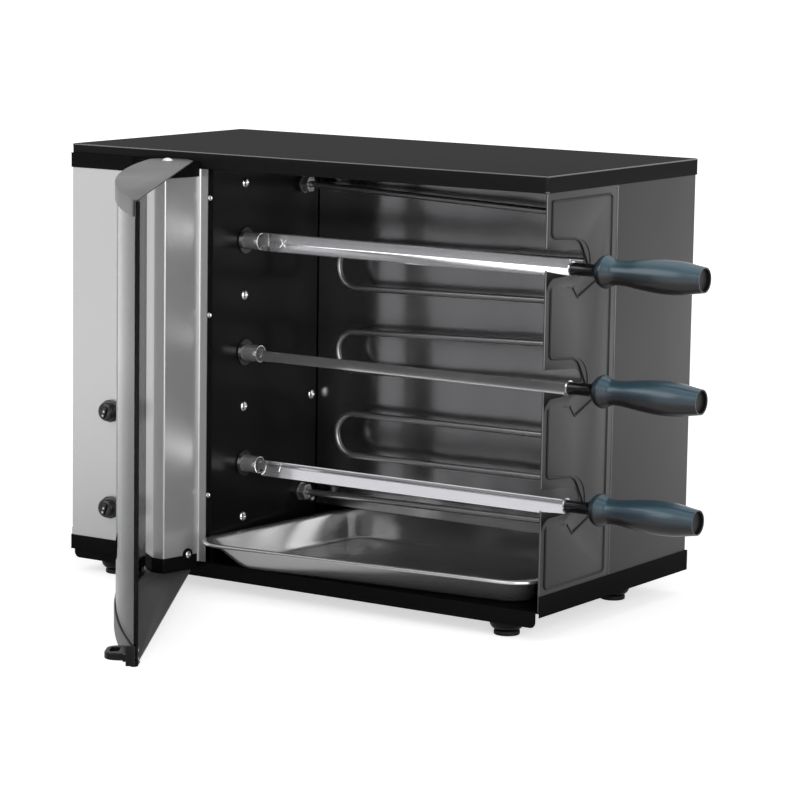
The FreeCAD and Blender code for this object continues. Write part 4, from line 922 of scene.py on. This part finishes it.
@dataclass
class Screws:
    """Every visible screw head, one piece for each group."""

    wall_mm: tuple[Triple, ...] = (
        (178.0, 53.0, 68.25), (178.0, 53.0, 180.75), (178.0, 53.0, 293.25), (178.0, 53.0, 405.75),
        (178.0, 171.0, 179.25))
    flange_mm: tuple[Triple, ...] = (
        (174.1, 0.0, 97.3), (174.1, 0.0, 277.7), (174.1, 0.0, 393.5))
    tab_mm: Triple = (161.42, -15.76, 38.0)
    tab_facing: Triple = (0.9835, -0.181, 0.0)
    rear_mm: tuple[Triple, ...] = (
        (12.0, 287.0, 70.0), (12.0, 287.0, 210.0), (12.0, 287.0, 350.0), (548.0, 287.0, 70.0),
        (548.0, 287.0, 210.0), (548.0, 287.0, 350.0))
    cover_mm: tuple[Triple, ...] = (
        (60.0, 288.0, 429.0), (280.0, 288.0, 429.0), (500.0, 288.0, 429.0))

    def build(self) -> None:
        """Build the heads in place of the plain ones."""
        head = ScrewHead().build()
        flat = ScrewHead(height=0.30, recess_depth=0.2).build()
        self.add(head, "wall_screws", 5.0, [(place(*spot), Vector((1.0, 0.0, 0.0))) for spot in self.wall_mm])
        front = [(place(*spot), Vector((0.0, -1.0, 0.0))) for spot in self.flange_mm]
        self.add(head, "flange_screws", 2.5, front, [(place(*self.tab_mm), Vector(self.tab_facing), 3.4)])
        back = [(place(*spot), Vector((0.0, 1.0, 0.0))) for spot in self.rear_mm + self.cover_mm]
        self.add(flat, "rear_screws", 3.4, back)
        for template in (head, flat):
            bpy.data.objects.remove(template)
        LOG.info("screws built")

    @staticmethod
    def add(head: Object, node: str, radius_mm: float, spots: list[tuple[Vector, Vector]],
            others: list[tuple[Vector, Vector, float]] | None = None) -> None:
        """Add one group of heads.

        Args:
            head: The template.
            node: CAD node that the heads stand for.
            radius_mm: Radius of a head.
            spots: Place and facing of each head.
            others: Place, facing and radius of heads of another size.
        """
        groups = [(spots, radius_mm)] + [([(spot, facing)], radius) for spot, facing, radius in others or []]
        for index, (row, radius) in enumerate(groups):
            piece = grow(ROWS_TREE, points_facing(node + "_points", row),
                         {"Part": head, "Size": radius / 1000.0}, f"{node}_heads_{index}",
                         Palette.BRIGHT_ZINC, 30.0)
            hang(piece, Body.CABINET.value, None if index else node)


@dataclass
class Fascia:
    """Stainless fascia with its two bands and domed knobs."""

    knob_x_mm: float = 53.0
    knob_y_mm: float = -2.7
    knob_z_mm: tuple[tuple[str, Body, float], ...] = (("heat", Body.HEAT, 170.5),
                                                      ("rotation", Body.ROTATION, 71.5))
    # Reach in front of the fascia and radius, from the bottom of the shaft's bore to the face.
    knob_mm: tuple[Pair, ...] = (
        (8.0, 0.1), (8.0, 3.0), (0.0, 3.0), (0.0, 10.8), (0.4, 11.3), (2.6, 11.3), (3.1, 11.0), (3.4, 10.3),
        (4.2, 10.1), (6.2, 10.0), (8.0, 9.6), (9.4, 8.9), (10.3, 8.0), (10.8, 6.8), (10.9, 6.0), (10.6, 5.2),
        (10.5, 0.1))
    bar_mm: Triple = (6.6, 2.3, 12.0)
    bar_degrees: float = 18.0
    mark_mm: float = 1.15
    knob_sides: int = 48
    mark_sides: int = 20
    mark_centres_mm: Pair = (-3.9, 0.4)
    corner: tuple[Pair, ...] = ((1.0, 0.5), (0.93, 0.85), (0.82, 1.0))

    def build(self) -> None:
        """Build and dress the fascia, bands and knobs."""
        refine_nodes(Body.CABINET, (("control_fascia", Palette.FASCIA_STEEL, 0.0),
                                    ("fascia_top_band", Palette.BASE_PAINT, 0.25),
                                    ("fascia_low_band", Palette.BASE_PAINT, 0.25)))
        for name, body, z in self.knob_z_mm:
            self.add_knob(name, body.value, z)
            dress(name + "_knob_shaft", Palette.PLAIN_STEEL)
        LOG.info("fascia built")

    def add_knob(self, name: str, body: str, z: float) -> None:
        """Add one turned knob with its raised bar and two marks.

        Args:
            name: First word of the knob's node.
            body: Body that it rides on.
            z: Height of its axis.
        """
        turned = loft([[self.on_knob(z, reach, *spot) for spot in circle(self.knob_sides, radius)]
                       for reach, radius in self.knob_mm])
        length, width, top = self.bar_mm
        bar = loft([[self.on_bar(z, reach, along * (length - shrink), across * (width - shrink))
                     for along, across in self.bar_outline()]
                    for reach, shrink in ((9.0, 0.0), (top - 0.7, 0.0), (top - 0.2, 0.25), (top, 0.7))])
        knob = add_piece(name + "_domed_knob", new_mesh(name + "_knob", *joined([turned, bar]), 30.0),
                         Palette.GLOSS_PLASTIC)
        node = name + "_knob"
        hang(knob, body, node)
        discs = [loft([[self.on_bar(z, reach, centre + along, across)
                        for along, across in circle(self.mark_sides, radius)]
                       for reach, radius in ((top - 0.5, self.mark_mm), (top + 0.05, self.mark_mm),
                                             (top + 0.15, self.mark_mm * 0.8))])
                 for centre in self.mark_centres_mm]
        marks = add_piece(name + "_knob_marks", new_mesh(name + "_marks", *joined(discs), 50.0),
                          Palette.WHITE_MARK)
        hang(marks, body)

    def on_knob(self, z: float, reach: float, across: float, up: float) -> Vector:
        """Place a point of a knob by its reach in front of the fascia."""
        return place(self.knob_x_mm + across, self.knob_y_mm - reach, z + up)

    def on_bar(self, z: float, reach: float, along: float, across: float) -> Vector:
        """Place a point of the raised bar, which leans from upright."""
        lean = math.radians(self.bar_degrees)
        return self.on_knob(z, reach, along * math.sin(lean) + across * math.cos(lean),
                            along * math.cos(lean) - across * math.sin(lean))

    def bar_outline(self) -> list[Pair]:
        """Return the bar's outline, one unit in half length and half width."""
        near = [*self.corner, *[(-along, across) for along, across in self.corner[::-1]]]
        return near + [(-along, -across) for along, across in near]


@dataclass
class Door:
    """Curved glass door with its plates, clips, handle and pins."""

    nodes: tuple[tuple[str, Palette, float], ...] = (
        ("door_top_plate", Palette.DOOR_STEEL, 0.25), ("door_low_plate", Palette.DOOR_STEEL, 0.25),
        ("door_glass", Palette.GLASS, 0.0), ("glass_clips", Palette.MOULDING, 0.3),
        ("door_handle", Palette.MOULDING, 0.5), ("handle_screws", Palette.BRIGHT_ZINC, 0.0),
        ("hinge_pins", Palette.BRIGHT_ZINC, 0.0))

    def build(self) -> None:
        """Build and dress the door."""
        refine_nodes(Body.DOOR, self.nodes)
        LOG.info("door built")


@dataclass
class Spit:
    """One spit: a folded blade with a round core, the sleeve it turns in and a turned grip."""

    name: str
    axis_z_mm: float
    turn_degrees: float
    axis_y_mm: float = 54.0
    leg_mm: float = 13.0
    sheet_mm: float = 1.0
    fold_mm: float = 1.6
    shoulder_x_mm: float = 201.5
    end_x_mm: float = 556.0
    tang_leg_mm: float = 6.5
    tang_x_mm: float = 187.0
    tang_shift_mm: float = 1.6
    core_mm: float = 4.0
    # First place, spacing and number of the sections between the blade's ends.
    stations_mm: Pair = (210.0, 12.0)
    stations: int = 28
    tang_end_x_mm: float = 221.5
    plate_mm: tuple[Pair, ...] = ((-1.5, 6.6), (-1.2, 7.2), (0.0, 7.2))
    plate_sides: int = 32
    core_sides: int = 28
    grip_sides: int = 64
    grip_x_mm: float = 587.0
    grip_mm: tuple[Pair, ...] = (
        (0.0, 13.6), (3.2, 15.3), (6.5, 15.8), (11.0, 13.9), (16.5, 11.9), (28.0, 12.2), (45.0, 14.4),
        (66.0, 16.2), (85.0, 15.6), (100.0, 13.4), (109.0, 12.0))

    def turned(self, x: float, back: float, up: float) -> Vector:
        """Place a point of the spit's section, turned to rest.

        Args:
            x: Place along the spit, in the oven's axes.
            back: Distance behind the spit's axis before it is turned.
            up: Height over the axis before it is turned.

        Returns:
            The point in the frame.
        """
        angle = math.radians(self.turn_degrees)
        y = back * math.cos(angle) - up * math.sin(angle)
        z = back * math.sin(angle) + up * math.cos(angle)
        return place(x, self.axis_y_mm + y, self.axis_z_mm + z)

    def section(self, leg: float, shift: float) -> list[Pair]:
        """Return the outline of the folded sheet, with a rounded fold.

        Args:
            leg: Length of a leg.
            shift: Distance that the section lies behind the axis.

        Returns:
            Pairs of distance behind the axis and height.
        """
        reach = leg * math.sqrt(0.5)
        apex = 0.5 * reach + shift
        outer_r = self.fold_mm + self.sheet_mm
        centre = apex - outer_r * math.sqrt(2.0)
        outer, inner = [], []
        for step in range(-3, 4):
            angle = math.radians(15.0 * step)
            outer.append((centre + outer_r * math.cos(angle), outer_r * math.sin(angle)))
            inner.append((centre + self.fold_mm * math.cos(angle), self.fold_mm * math.sin(angle)))
        skin = self.sheet_mm * math.sqrt(0.5)
        tips = [(apex - reach, -reach), (apex - reach, reach)]
        inner_tips = [(tips[0][0] - skin, tips[0][1] + skin), (tips[1][0] - skin, tips[1][1] - skin)]
        return [tips[0], *outer, tips[1], inner_tips[1], *inner[::-1], inner_tips[0]]

    def build(self) -> None:
        """Build the spit's pieces and hang them on its body."""
        body = self.name + "_spit"
        steel = new_mesh(body, *joined([self.blade(), self.tang(), self.end_plate(), self.core()]), 28.0)
        blade = add_piece(body + "_folded_blade", steel, Palette.BLADE_STEEL)
        grip = add_piece(body + "_turned_grip", self.grip(), Palette.GRIP)
        for piece, node in ((blade, body + "_blade"), (grip, body + "_grip")):
            hang(piece, body, node)
        # The recess in the grip's end gets a dark lining as painted shade.
        hang(add_piece(body + "_end_cup", self.painted_shade_cup(), Palette.MOULDING), body)
        refine_node(self.name + "_spit_sleeve", Palette.BLACK_METAL, self.name + "_sleeve", 0.0)

    def swept(self, outline: list[Pair], stations: list[float]) -> Shell:
        """Sweep an outline along the spit."""
        return loft([[self.turned(x, back, up) for back, up in outline] for x in stations])

    def blade(self) -> Shell:
        """Return the broad blade."""
        first, step = self.stations_mm
        return self.swept(self.section(self.leg_mm, 0.0),
                          [self.shoulder_x_mm, *[first + step * i for i in range(self.stations)],
                           self.end_x_mm + self.plate_mm[0][0]])

    def tang(self) -> Shell:
        """Return the narrow tongue that enters the drive tube."""
        return self.swept(self.section(self.tang_leg_mm, self.tang_shift_mm),
                          [self.tang_x_mm, self.tang_end_x_mm])

    def end_plate(self) -> Shell:
        """Return the small plate that closes the blade's end."""
        return loft([[self.turned(self.end_x_mm + x, *spot) for spot in circle(self.plate_sides, radius)]
                     for x, radius in self.plate_mm])

    def core(self) -> Shell:
        """Return the round core that runs through the sleeve into the grip."""
        return self.swept(circle(self.core_sides, self.core_mm), [self.end_x_mm - 0.2, self.grip_x_mm + 0.2])

    def grip(self) -> Mesh:
        """Return the turned grip with its recessed end."""
        curve = smooth_stations(list(self.grip_mm), 5)
        end_x, end_r = self.grip_mm[-1]
        curve = [(0.0, 2.0), (0.0, 13.0)] + curve + [(end_x, end_r - 0.6), (end_x - 0.4, end_r - 1.1),
                                                      (end_x - 3.6, end_r - 1.4), (end_x - 4.0, 2.0)]
        return self.lathe("_grip", curve)

    def painted_shade_cup(self) -> Mesh:
        """Return the dark cup that lines the recess in the grip's end, as painted shade of the hollow."""
        end_x, end_r = self.grip_mm[-1]
        curve = [(end_x - 3.9, 0.2), (end_x - 3.9, end_r - 1.4), (end_x - 0.5, end_r - 1.05),
                 (end_x - 0.5, end_r - 1.5), (end_x - 3.2, end_r - 1.9), (end_x - 3.5, end_r - 2.6),
                 (end_x - 3.6, 0.2)]
        return self.lathe("_cup", curve)

    def lathe(self, suffix: str, curve: list[Pair]) -> Mesh:
        """Turn a profile about the spit's axis.

        Args:
            suffix: End of the mesh's name.
            curve: Places along the grip and radii.

        Returns:
            The mesh.
        """
        rings = [[place(self.grip_x_mm + x, self.axis_y_mm + back, self.axis_z_mm + up)
                  for back, up in circle(self.grip_sides, r)] for x, r in curve]
        return new_mesh(self.name + suffix, *loft(rings), 40.0)


@dataclass
class Spits:
    """The three spits and their drive tubes."""

    pitch_mm: float = 112.5
    low_z_mm: float = 123.0
    turns: tuple[tuple[str, float], ...] = (("lower", 20.0), ("middle", 92.0), ("upper", -8.0))

    def build(self) -> None:
        """Build and dress every spit."""
        for index, (name, turn) in enumerate(self.turns):
            Spit(name, self.low_z_mm + index * self.pitch_mm, turn).build()
            refine_node(name + "_drive_tube", Palette.BLADE_STEEL, name + "_spindle", 0.2)
        LOG.info("spits built")


@dataclass
class Heater:
    """Folded element, nuts, support strip and probe."""

    plane_y_mm: float = 155.0
    radius_mm: float = 3.25
    end_x_mm: float = 164.0
    straight_x_mm: float = 192.0
    end_bend_mm: float = 40.0
    # Share of the distance between two runs that the bend joining them takes.
    turn_share: float = 0.47
    left_x_mm: float = 222.0
    right_x_mm: float = 546.0
    left_z_mm: tuple[float, ...] = (80.0, 124.0, 167.0, 211.0, 250.5, 295.5, 339.0, 398.0)
    right_z_mm: tuple[float, ...] = (84.0, 127.0, 169.0, 220.0, 262.0, 303.5, 344.0, 386.0)

    def build(self) -> None:
        """Build and dress the heater."""
        bend_rods("folded_element", [self.corners()], self.radius_mm, Palette.ELEMENT_STEEL,
                  "heating_element")
        refine_nodes(Body.CABINET, tuple((node, Palette.ELEMENT_STEEL, 0.2) for node in
                                         ("element_nuts", "element_support", "thermostat_probe")))
        LOG.info("heater built")

    def corners(self) -> list[Quad]:
        """Return the element's corners, each with its bend."""
        low, high = self.left_z_mm[0], self.left_z_mm[-1]
        spots = [(self.end_x_mm, low, 0.0), (self.straight_x_mm, low, self.end_bend_mm)]
        for row in range(len(self.left_z_mm) - 1):
            zs, x = (self.right_z_mm, self.right_x_mm) if row % 2 == 0 else (self.left_z_mm, self.left_x_mm)
            bend = self.turn_share * (zs[row + 1] - zs[row])
            spots += [(x, zs[row], bend), (x, zs[row + 1], bend)]
        spots += [(self.straight_x_mm, high, self.end_bend_mm), (self.end_x_mm, high, 0.0)]
        return [(x, self.plane_y_mm, z, bend) for x, z, bend in spots]


@dataclass
class DripPan:
    """Pressed pan whose front and left edges run askew, with a rolled rim and sloping walls."""

    plan_mm: tuple[Pair, ...] = ((175.04, -40.0), (552.0, -6.0), (552.0, 226.0),
                                                (200.04, 226.0))
    rims_mm: tuple[float, ...] = (5.0, 11.0, 6.0, 10.0)
    tapers_mm: tuple[float, ...] = (28.0, 16.0, 20.0, 14.0)
    rim_z_mm: float = 57.0
    corner_mm: float = 32.0
    sheet_mm: float = 0.8
    arc_steps: int = 12
    side_steps: int = 14

    def build(self) -> None:
        """Build the pan and hang it on its body."""
        # Share of the rim, share of the taper, further inset, drop and loss of corner radius.
        stations = [(0.0, 0.0, 0.3, -3.0, 0.0), (0.0, 0.0, 0.0, -1.5, 0.0), (0.0, 0.0, 0.5, -0.4, 0.0),
                    (0.0, 0.0, 1.5, 0.0, 0.5), (0.6, 0.0, 0.0, 0.0, 2.0), (0.85, 0.0, 0.0, -0.1, 4.0),
                    (1.0, 0.0, 0.0, -0.7, 5.0), (1.0, 0.06, 0.0, -2.0, 5.0), (1.0, 0.14, 0.0, -4.0, 5.2),
                    (1.0, 0.45, 0.0, -12.3, 6.3), (1.0, 0.80, 0.0, -21.6, 7.4), (1.0, 0.90, 0.0, -24.2, 7.7),
                    (1.0, 0.98, 0.0, -25.8, 8.0), (1.0, 1.0, 1.6, -26.6, 9.0), (1.0, 1.0, 4.0, -26.9, 11.0)]
        rings = [self.ring([a * rim + b * taper + c for rim, taper in zip(self.rims_mm, self.tapers_mm)],
                           self.corner_mm - loss, self.rim_z_mm + drop) for a, b, c, drop, loss in stations]
        last = rings[-1]
        middle = sum(last, Vector()) / len(last)
        rings += [[point.lerp(middle, share) + Vector((0.0, 0.0, rise)) for point in last]
                  for share, rise in ((0.15, 0.0), (0.35, 0.0003), (0.6, 0.0005), (0.85, 0.0006))]
        verts, faces = loft(rings, closed_ends=False)
        faces.append([(len(rings) - 1) * len(last) + i for i in range(len(last))])
        mesh = new_mesh("drip_pan", verts, faces, 60.0, turn_outwards=False)
        pan = link_object("pan_seed", mesh)
        wall = pan.modifiers.new("sheet", "SOLIDIFY")
        wall.thickness = self.sheet_mm / 1000.0
        wall.offset = -1.0
        solid = applied(pan)
        bpy.data.objects.remove(pan)
        smooth_by_angle(solid, 60.0)
        piece = add_piece("pressed_drip_pan", solid, Palette.PAN_STEEL)
        hang(piece, Body.PAN.value, "drip_pan")
        LOG.info("drip pan built")

    def ring(self, insets: list[float], radius: float, z: float) -> list[Vector]:
        """Return one round-cornered ring of the pan.

        Args:
            insets: Distance inside the front, right, back and left edges.
            radius: Radius of the corners.
            z: Height.

        Returns:
            The ring's points.
        """
        lines = []
        for i, inset in enumerate(insets):
            start, end = Vector(self.plan_mm[i]), Vector(self.plan_mm[(i + 1) % 4])
            along = (end - start).normalized()
            lines.append((start + Vector((-along.y, along.x)) * inset, along))
        points: list[Vector] = []
        for (p, u), (q, w) in zip([lines[-1]] + lines[:-1], lines):
            corner = p + u * ((q.x - p.x) * w.y - (q.y - p.y) * w.x) / (u.x * w.y - u.y * w.x)
            turn = u.angle(w)
            centre = corner - u * radius * math.tan(0.5 * turn) + Vector((-u.y, u.x)) * radius
            first = math.atan2(-u.x, u.y)
            arc = [Vector((centre.x + radius * math.cos(first + turn * i / self.arc_steps),
                           centre.y - radius * math.sin(-first - turn * i / self.arc_steps)))
                   for i in range(self.arc_steps + 1)]
            if points:
                points += self.between(points[-1], arc[0])
            points += arc
        points += self.between(points[-1], points[0])
        return [place(point.x, point.y, z) for point in points]

    def between(self, a: Vector, b: Vector) -> list[Vector]:
        """Return the points that divide a straight side."""
        return [a.lerp(b, i / self.side_steps) for i in range(1, self.side_steps)]


@dataclass
class Drive:
    """Gears, motor and controls inside the drive side."""

    steel: tuple[str, ...] = ("gear_plate", "gear_pins", "drive_motor", "motor_pinion", "lower_idler_gear",
                              "upper_idler_gear", "lower_spit_gear", "middle_spit_gear", "upper_spit_gear")
    mouldings: tuple[str, ...] = ("thermostat_body", "rotation_switch", "terminal_block")

    def build(self) -> None:
        """Build and dress the drive."""
        refine_node("spit_bushes", Palette.BLACK_METAL, Body.CABINET.value, 0.0)
        for nodes, choice in ((self.steel, Palette.PLAIN_STEEL), (self.mouldings, Palette.MOULDING)):
            for node in nodes:
                dress(node, choice)
        LOG.info("drive dressed")


# ---- studio
Lamp = tuple[str, Triple, Pair, float]


@dataclass
class Studio:
    """Floor, world, lamps and camera."""

    camera_mm: Triple = (2115.66, -2602.70, 694.33)
    yaw: float = 0.58259
    pitch: float = 0.152502
    roll: float = 0.0158884
    lens_mm: float = 149.06
    sensor_mm: float = 36.0
    floor_radius: float = 60.0
    # Distance where the floor's glow starts to rise, where it is full, and its least share.
    floor_seen: Triple = (0.6, 3.0, 0.62)
    # In reflections the floor glows less near the oven: a painted shadow round its foot.
    mirrored_floor_painted_shade: Triple = (0.35, 1.9, 0.2)
    # The world's strength as a light and as it is seen.
    world: Pair = (0.35, 1.0)
    aim: Triple = (0.0, 0.0, 0.2)
    # Name, place, size and power of each soft box.
    lamps: tuple[Lamp, ...] = (
        ("key_box", (-0.9, -1.5, 1.3), (1.6, 1.2), 15.0), ("side_box", (2.2, -1.3, 0.9), (2.4, 2.0), 50.0),
        ("top_box", (0.2, 0.2, 2.4), (2.4, 2.0), 9.0))

    def build(self) -> None:
        """Build the studio round the oven."""
        self.add_floor()
        self.add_world()
        self.add_lamps()
        self.add_camera()
        bpy.context.scene.view_settings.view_transform = "Standard"
        LOG.info("studio built")

    def add_floor(self) -> None:
        """Add the plain pale floor, which glows white far from the oven, and which in reflections glows less
        near it as a painted shadow.
        """
        work = bmesh.new()
        bmesh.ops.create_circle(work, cap_ends=True, segments=64, radius=self.floor_radius)
        mesh = bpy.data.meshes.new("floor")
        work.to_mesh(mesh)
        work.free()
        material, tree, shader = new_material("pale_floor")
        fill(tree, shader, {"Base Color": (0.80, 0.80, 0.80, 1.0), "Roughness": 0.9, "Specular IOR Level": 0.0})
        path = add_node(tree, "ShaderNodeLightPath")
        where = add_node(tree, "ShaderNodeTexCoord")
        reach = add_node(tree, "ShaderNodeVectorMath", {0: where.outputs["Object"]}, operation="LENGTH")
        shares = []
        for rays, (near, far, low) in ((("Is Camera Ray", "Is Transmission Ray"), self.floor_seen),
                                       (("Is Glossy Ray",), self.mirrored_floor_painted_shade)):
            level = add_node(tree, "ShaderNodeMapRange", {"Value": reach.outputs["Value"], "From Min": near,
                                                          "From Max": far, "To Min": low})
            shares += [add_node(tree, "ShaderNodeMath", {0: path.outputs[ray], 1: level.outputs["Result"]},
                                operation="MULTIPLY").outputs["Value"] for ray in rays]
        glow = add_node(tree, "ShaderNodeEmission", {"Color": WHITE, "Strength": self.largest(tree, shares)})
        total = add_node(tree, "ShaderNodeAddShader", {0: shader.outputs["BSDF"], 1: glow.outputs["Emission"]})
        fill(tree, tree.nodes["Material Output"], {"Surface": total.outputs["Shader"]})
        mesh.materials.append(material)
        link_object("floor", mesh)

    @staticmethod
    def largest(tree: NodeTree, values: list[NodeSocket]) -> NodeSocket:
        """Join values into the largest of them.

        Args:
            tree: Tree of the material or world.
            values: The sockets with the values.

        Returns:
            The socket with the largest value.
        """
        best = values[0]
        for value in values[1:]:
            best = add_node(tree, "ShaderNodeMath", {0: best, 1: value}, operation="MAXIMUM").outputs["Value"]
        return best

    def add_world(self) -> None:
        """Light the scene with a plain grey world that is seen as white."""
        world = bpy.data.worlds.new("studio")
        bpy.context.scene.world = world
        world.use_nodes = True
        tree = world.node_tree
        path = add_node(tree, "ShaderNodeLightPath")
        seen = self.largest(tree, [path.outputs[ray] for ray in
                                   ("Is Camera Ray", "Is Glossy Ray", "Is Transmission Ray")])
        level = add_node(tree, "ShaderNodeMapRange",
                         {"Value": seen, "To Min": self.world[0], "To Max": self.world[1]})
        fill(tree, tree.nodes["Background"], {"Color": WHITE, "Strength": level.outputs["Result"]})

    def add_lamps(self) -> None:
        """Add the soft boxes."""
        for name, spot, size, power in self.lamps:
            data = bpy.data.lights.new(name, "AREA")
            data.shape = "RECTANGLE"
            data.size, data.size_y = size
            data.energy = power
            lamp = link_object(name, data)
            lamp.location = spot
            lamp.rotation_euler = (Vector(self.aim) - Vector(spot)).to_track_quat("-Z", "Y").to_euler()

    def add_camera(self) -> None:
        """Add the camera at its calibrated place."""
        ahead = Vector((-math.sin(self.yaw) * math.cos(self.pitch), math.cos(self.yaw) * math.cos(self.pitch),
                        -math.sin(self.pitch)))
        right = Vector((math.cos(self.yaw), math.sin(self.yaw), 0.0))
        upward = right.cross(ahead)
        turned = right * math.cos(self.roll) + upward * math.sin(self.roll)
        upward = upward * math.cos(self.roll) - right * math.sin(self.roll)
        data = bpy.data.cameras.new("camera")
        data.lens = self.lens_mm
        data.sensor_width = self.sensor_mm
        data.clip_end = 200.0
        camera = link_object("camera", data)
        rows = Matrix((turned, upward, -ahead)).transposed().to_4x4()
        camera.matrix_world = Matrix.Translation(place(*self.camera_mm)) @ rows
        bpy.context.scene.camera = camera


def main() -> None:
    """Build the oven and its studio."""
    logging.basicConfig(level=logging.INFO, format="%(name)s: %(message)s")
    for assembly in (Cabinet(), PanelBeads(), Screws(), Fascia(), Door(), Spits(), Heater(), DripPan(), Drive(),
                     Studio()):
        assembly.build()


if __name__ == "__main__":
    main()
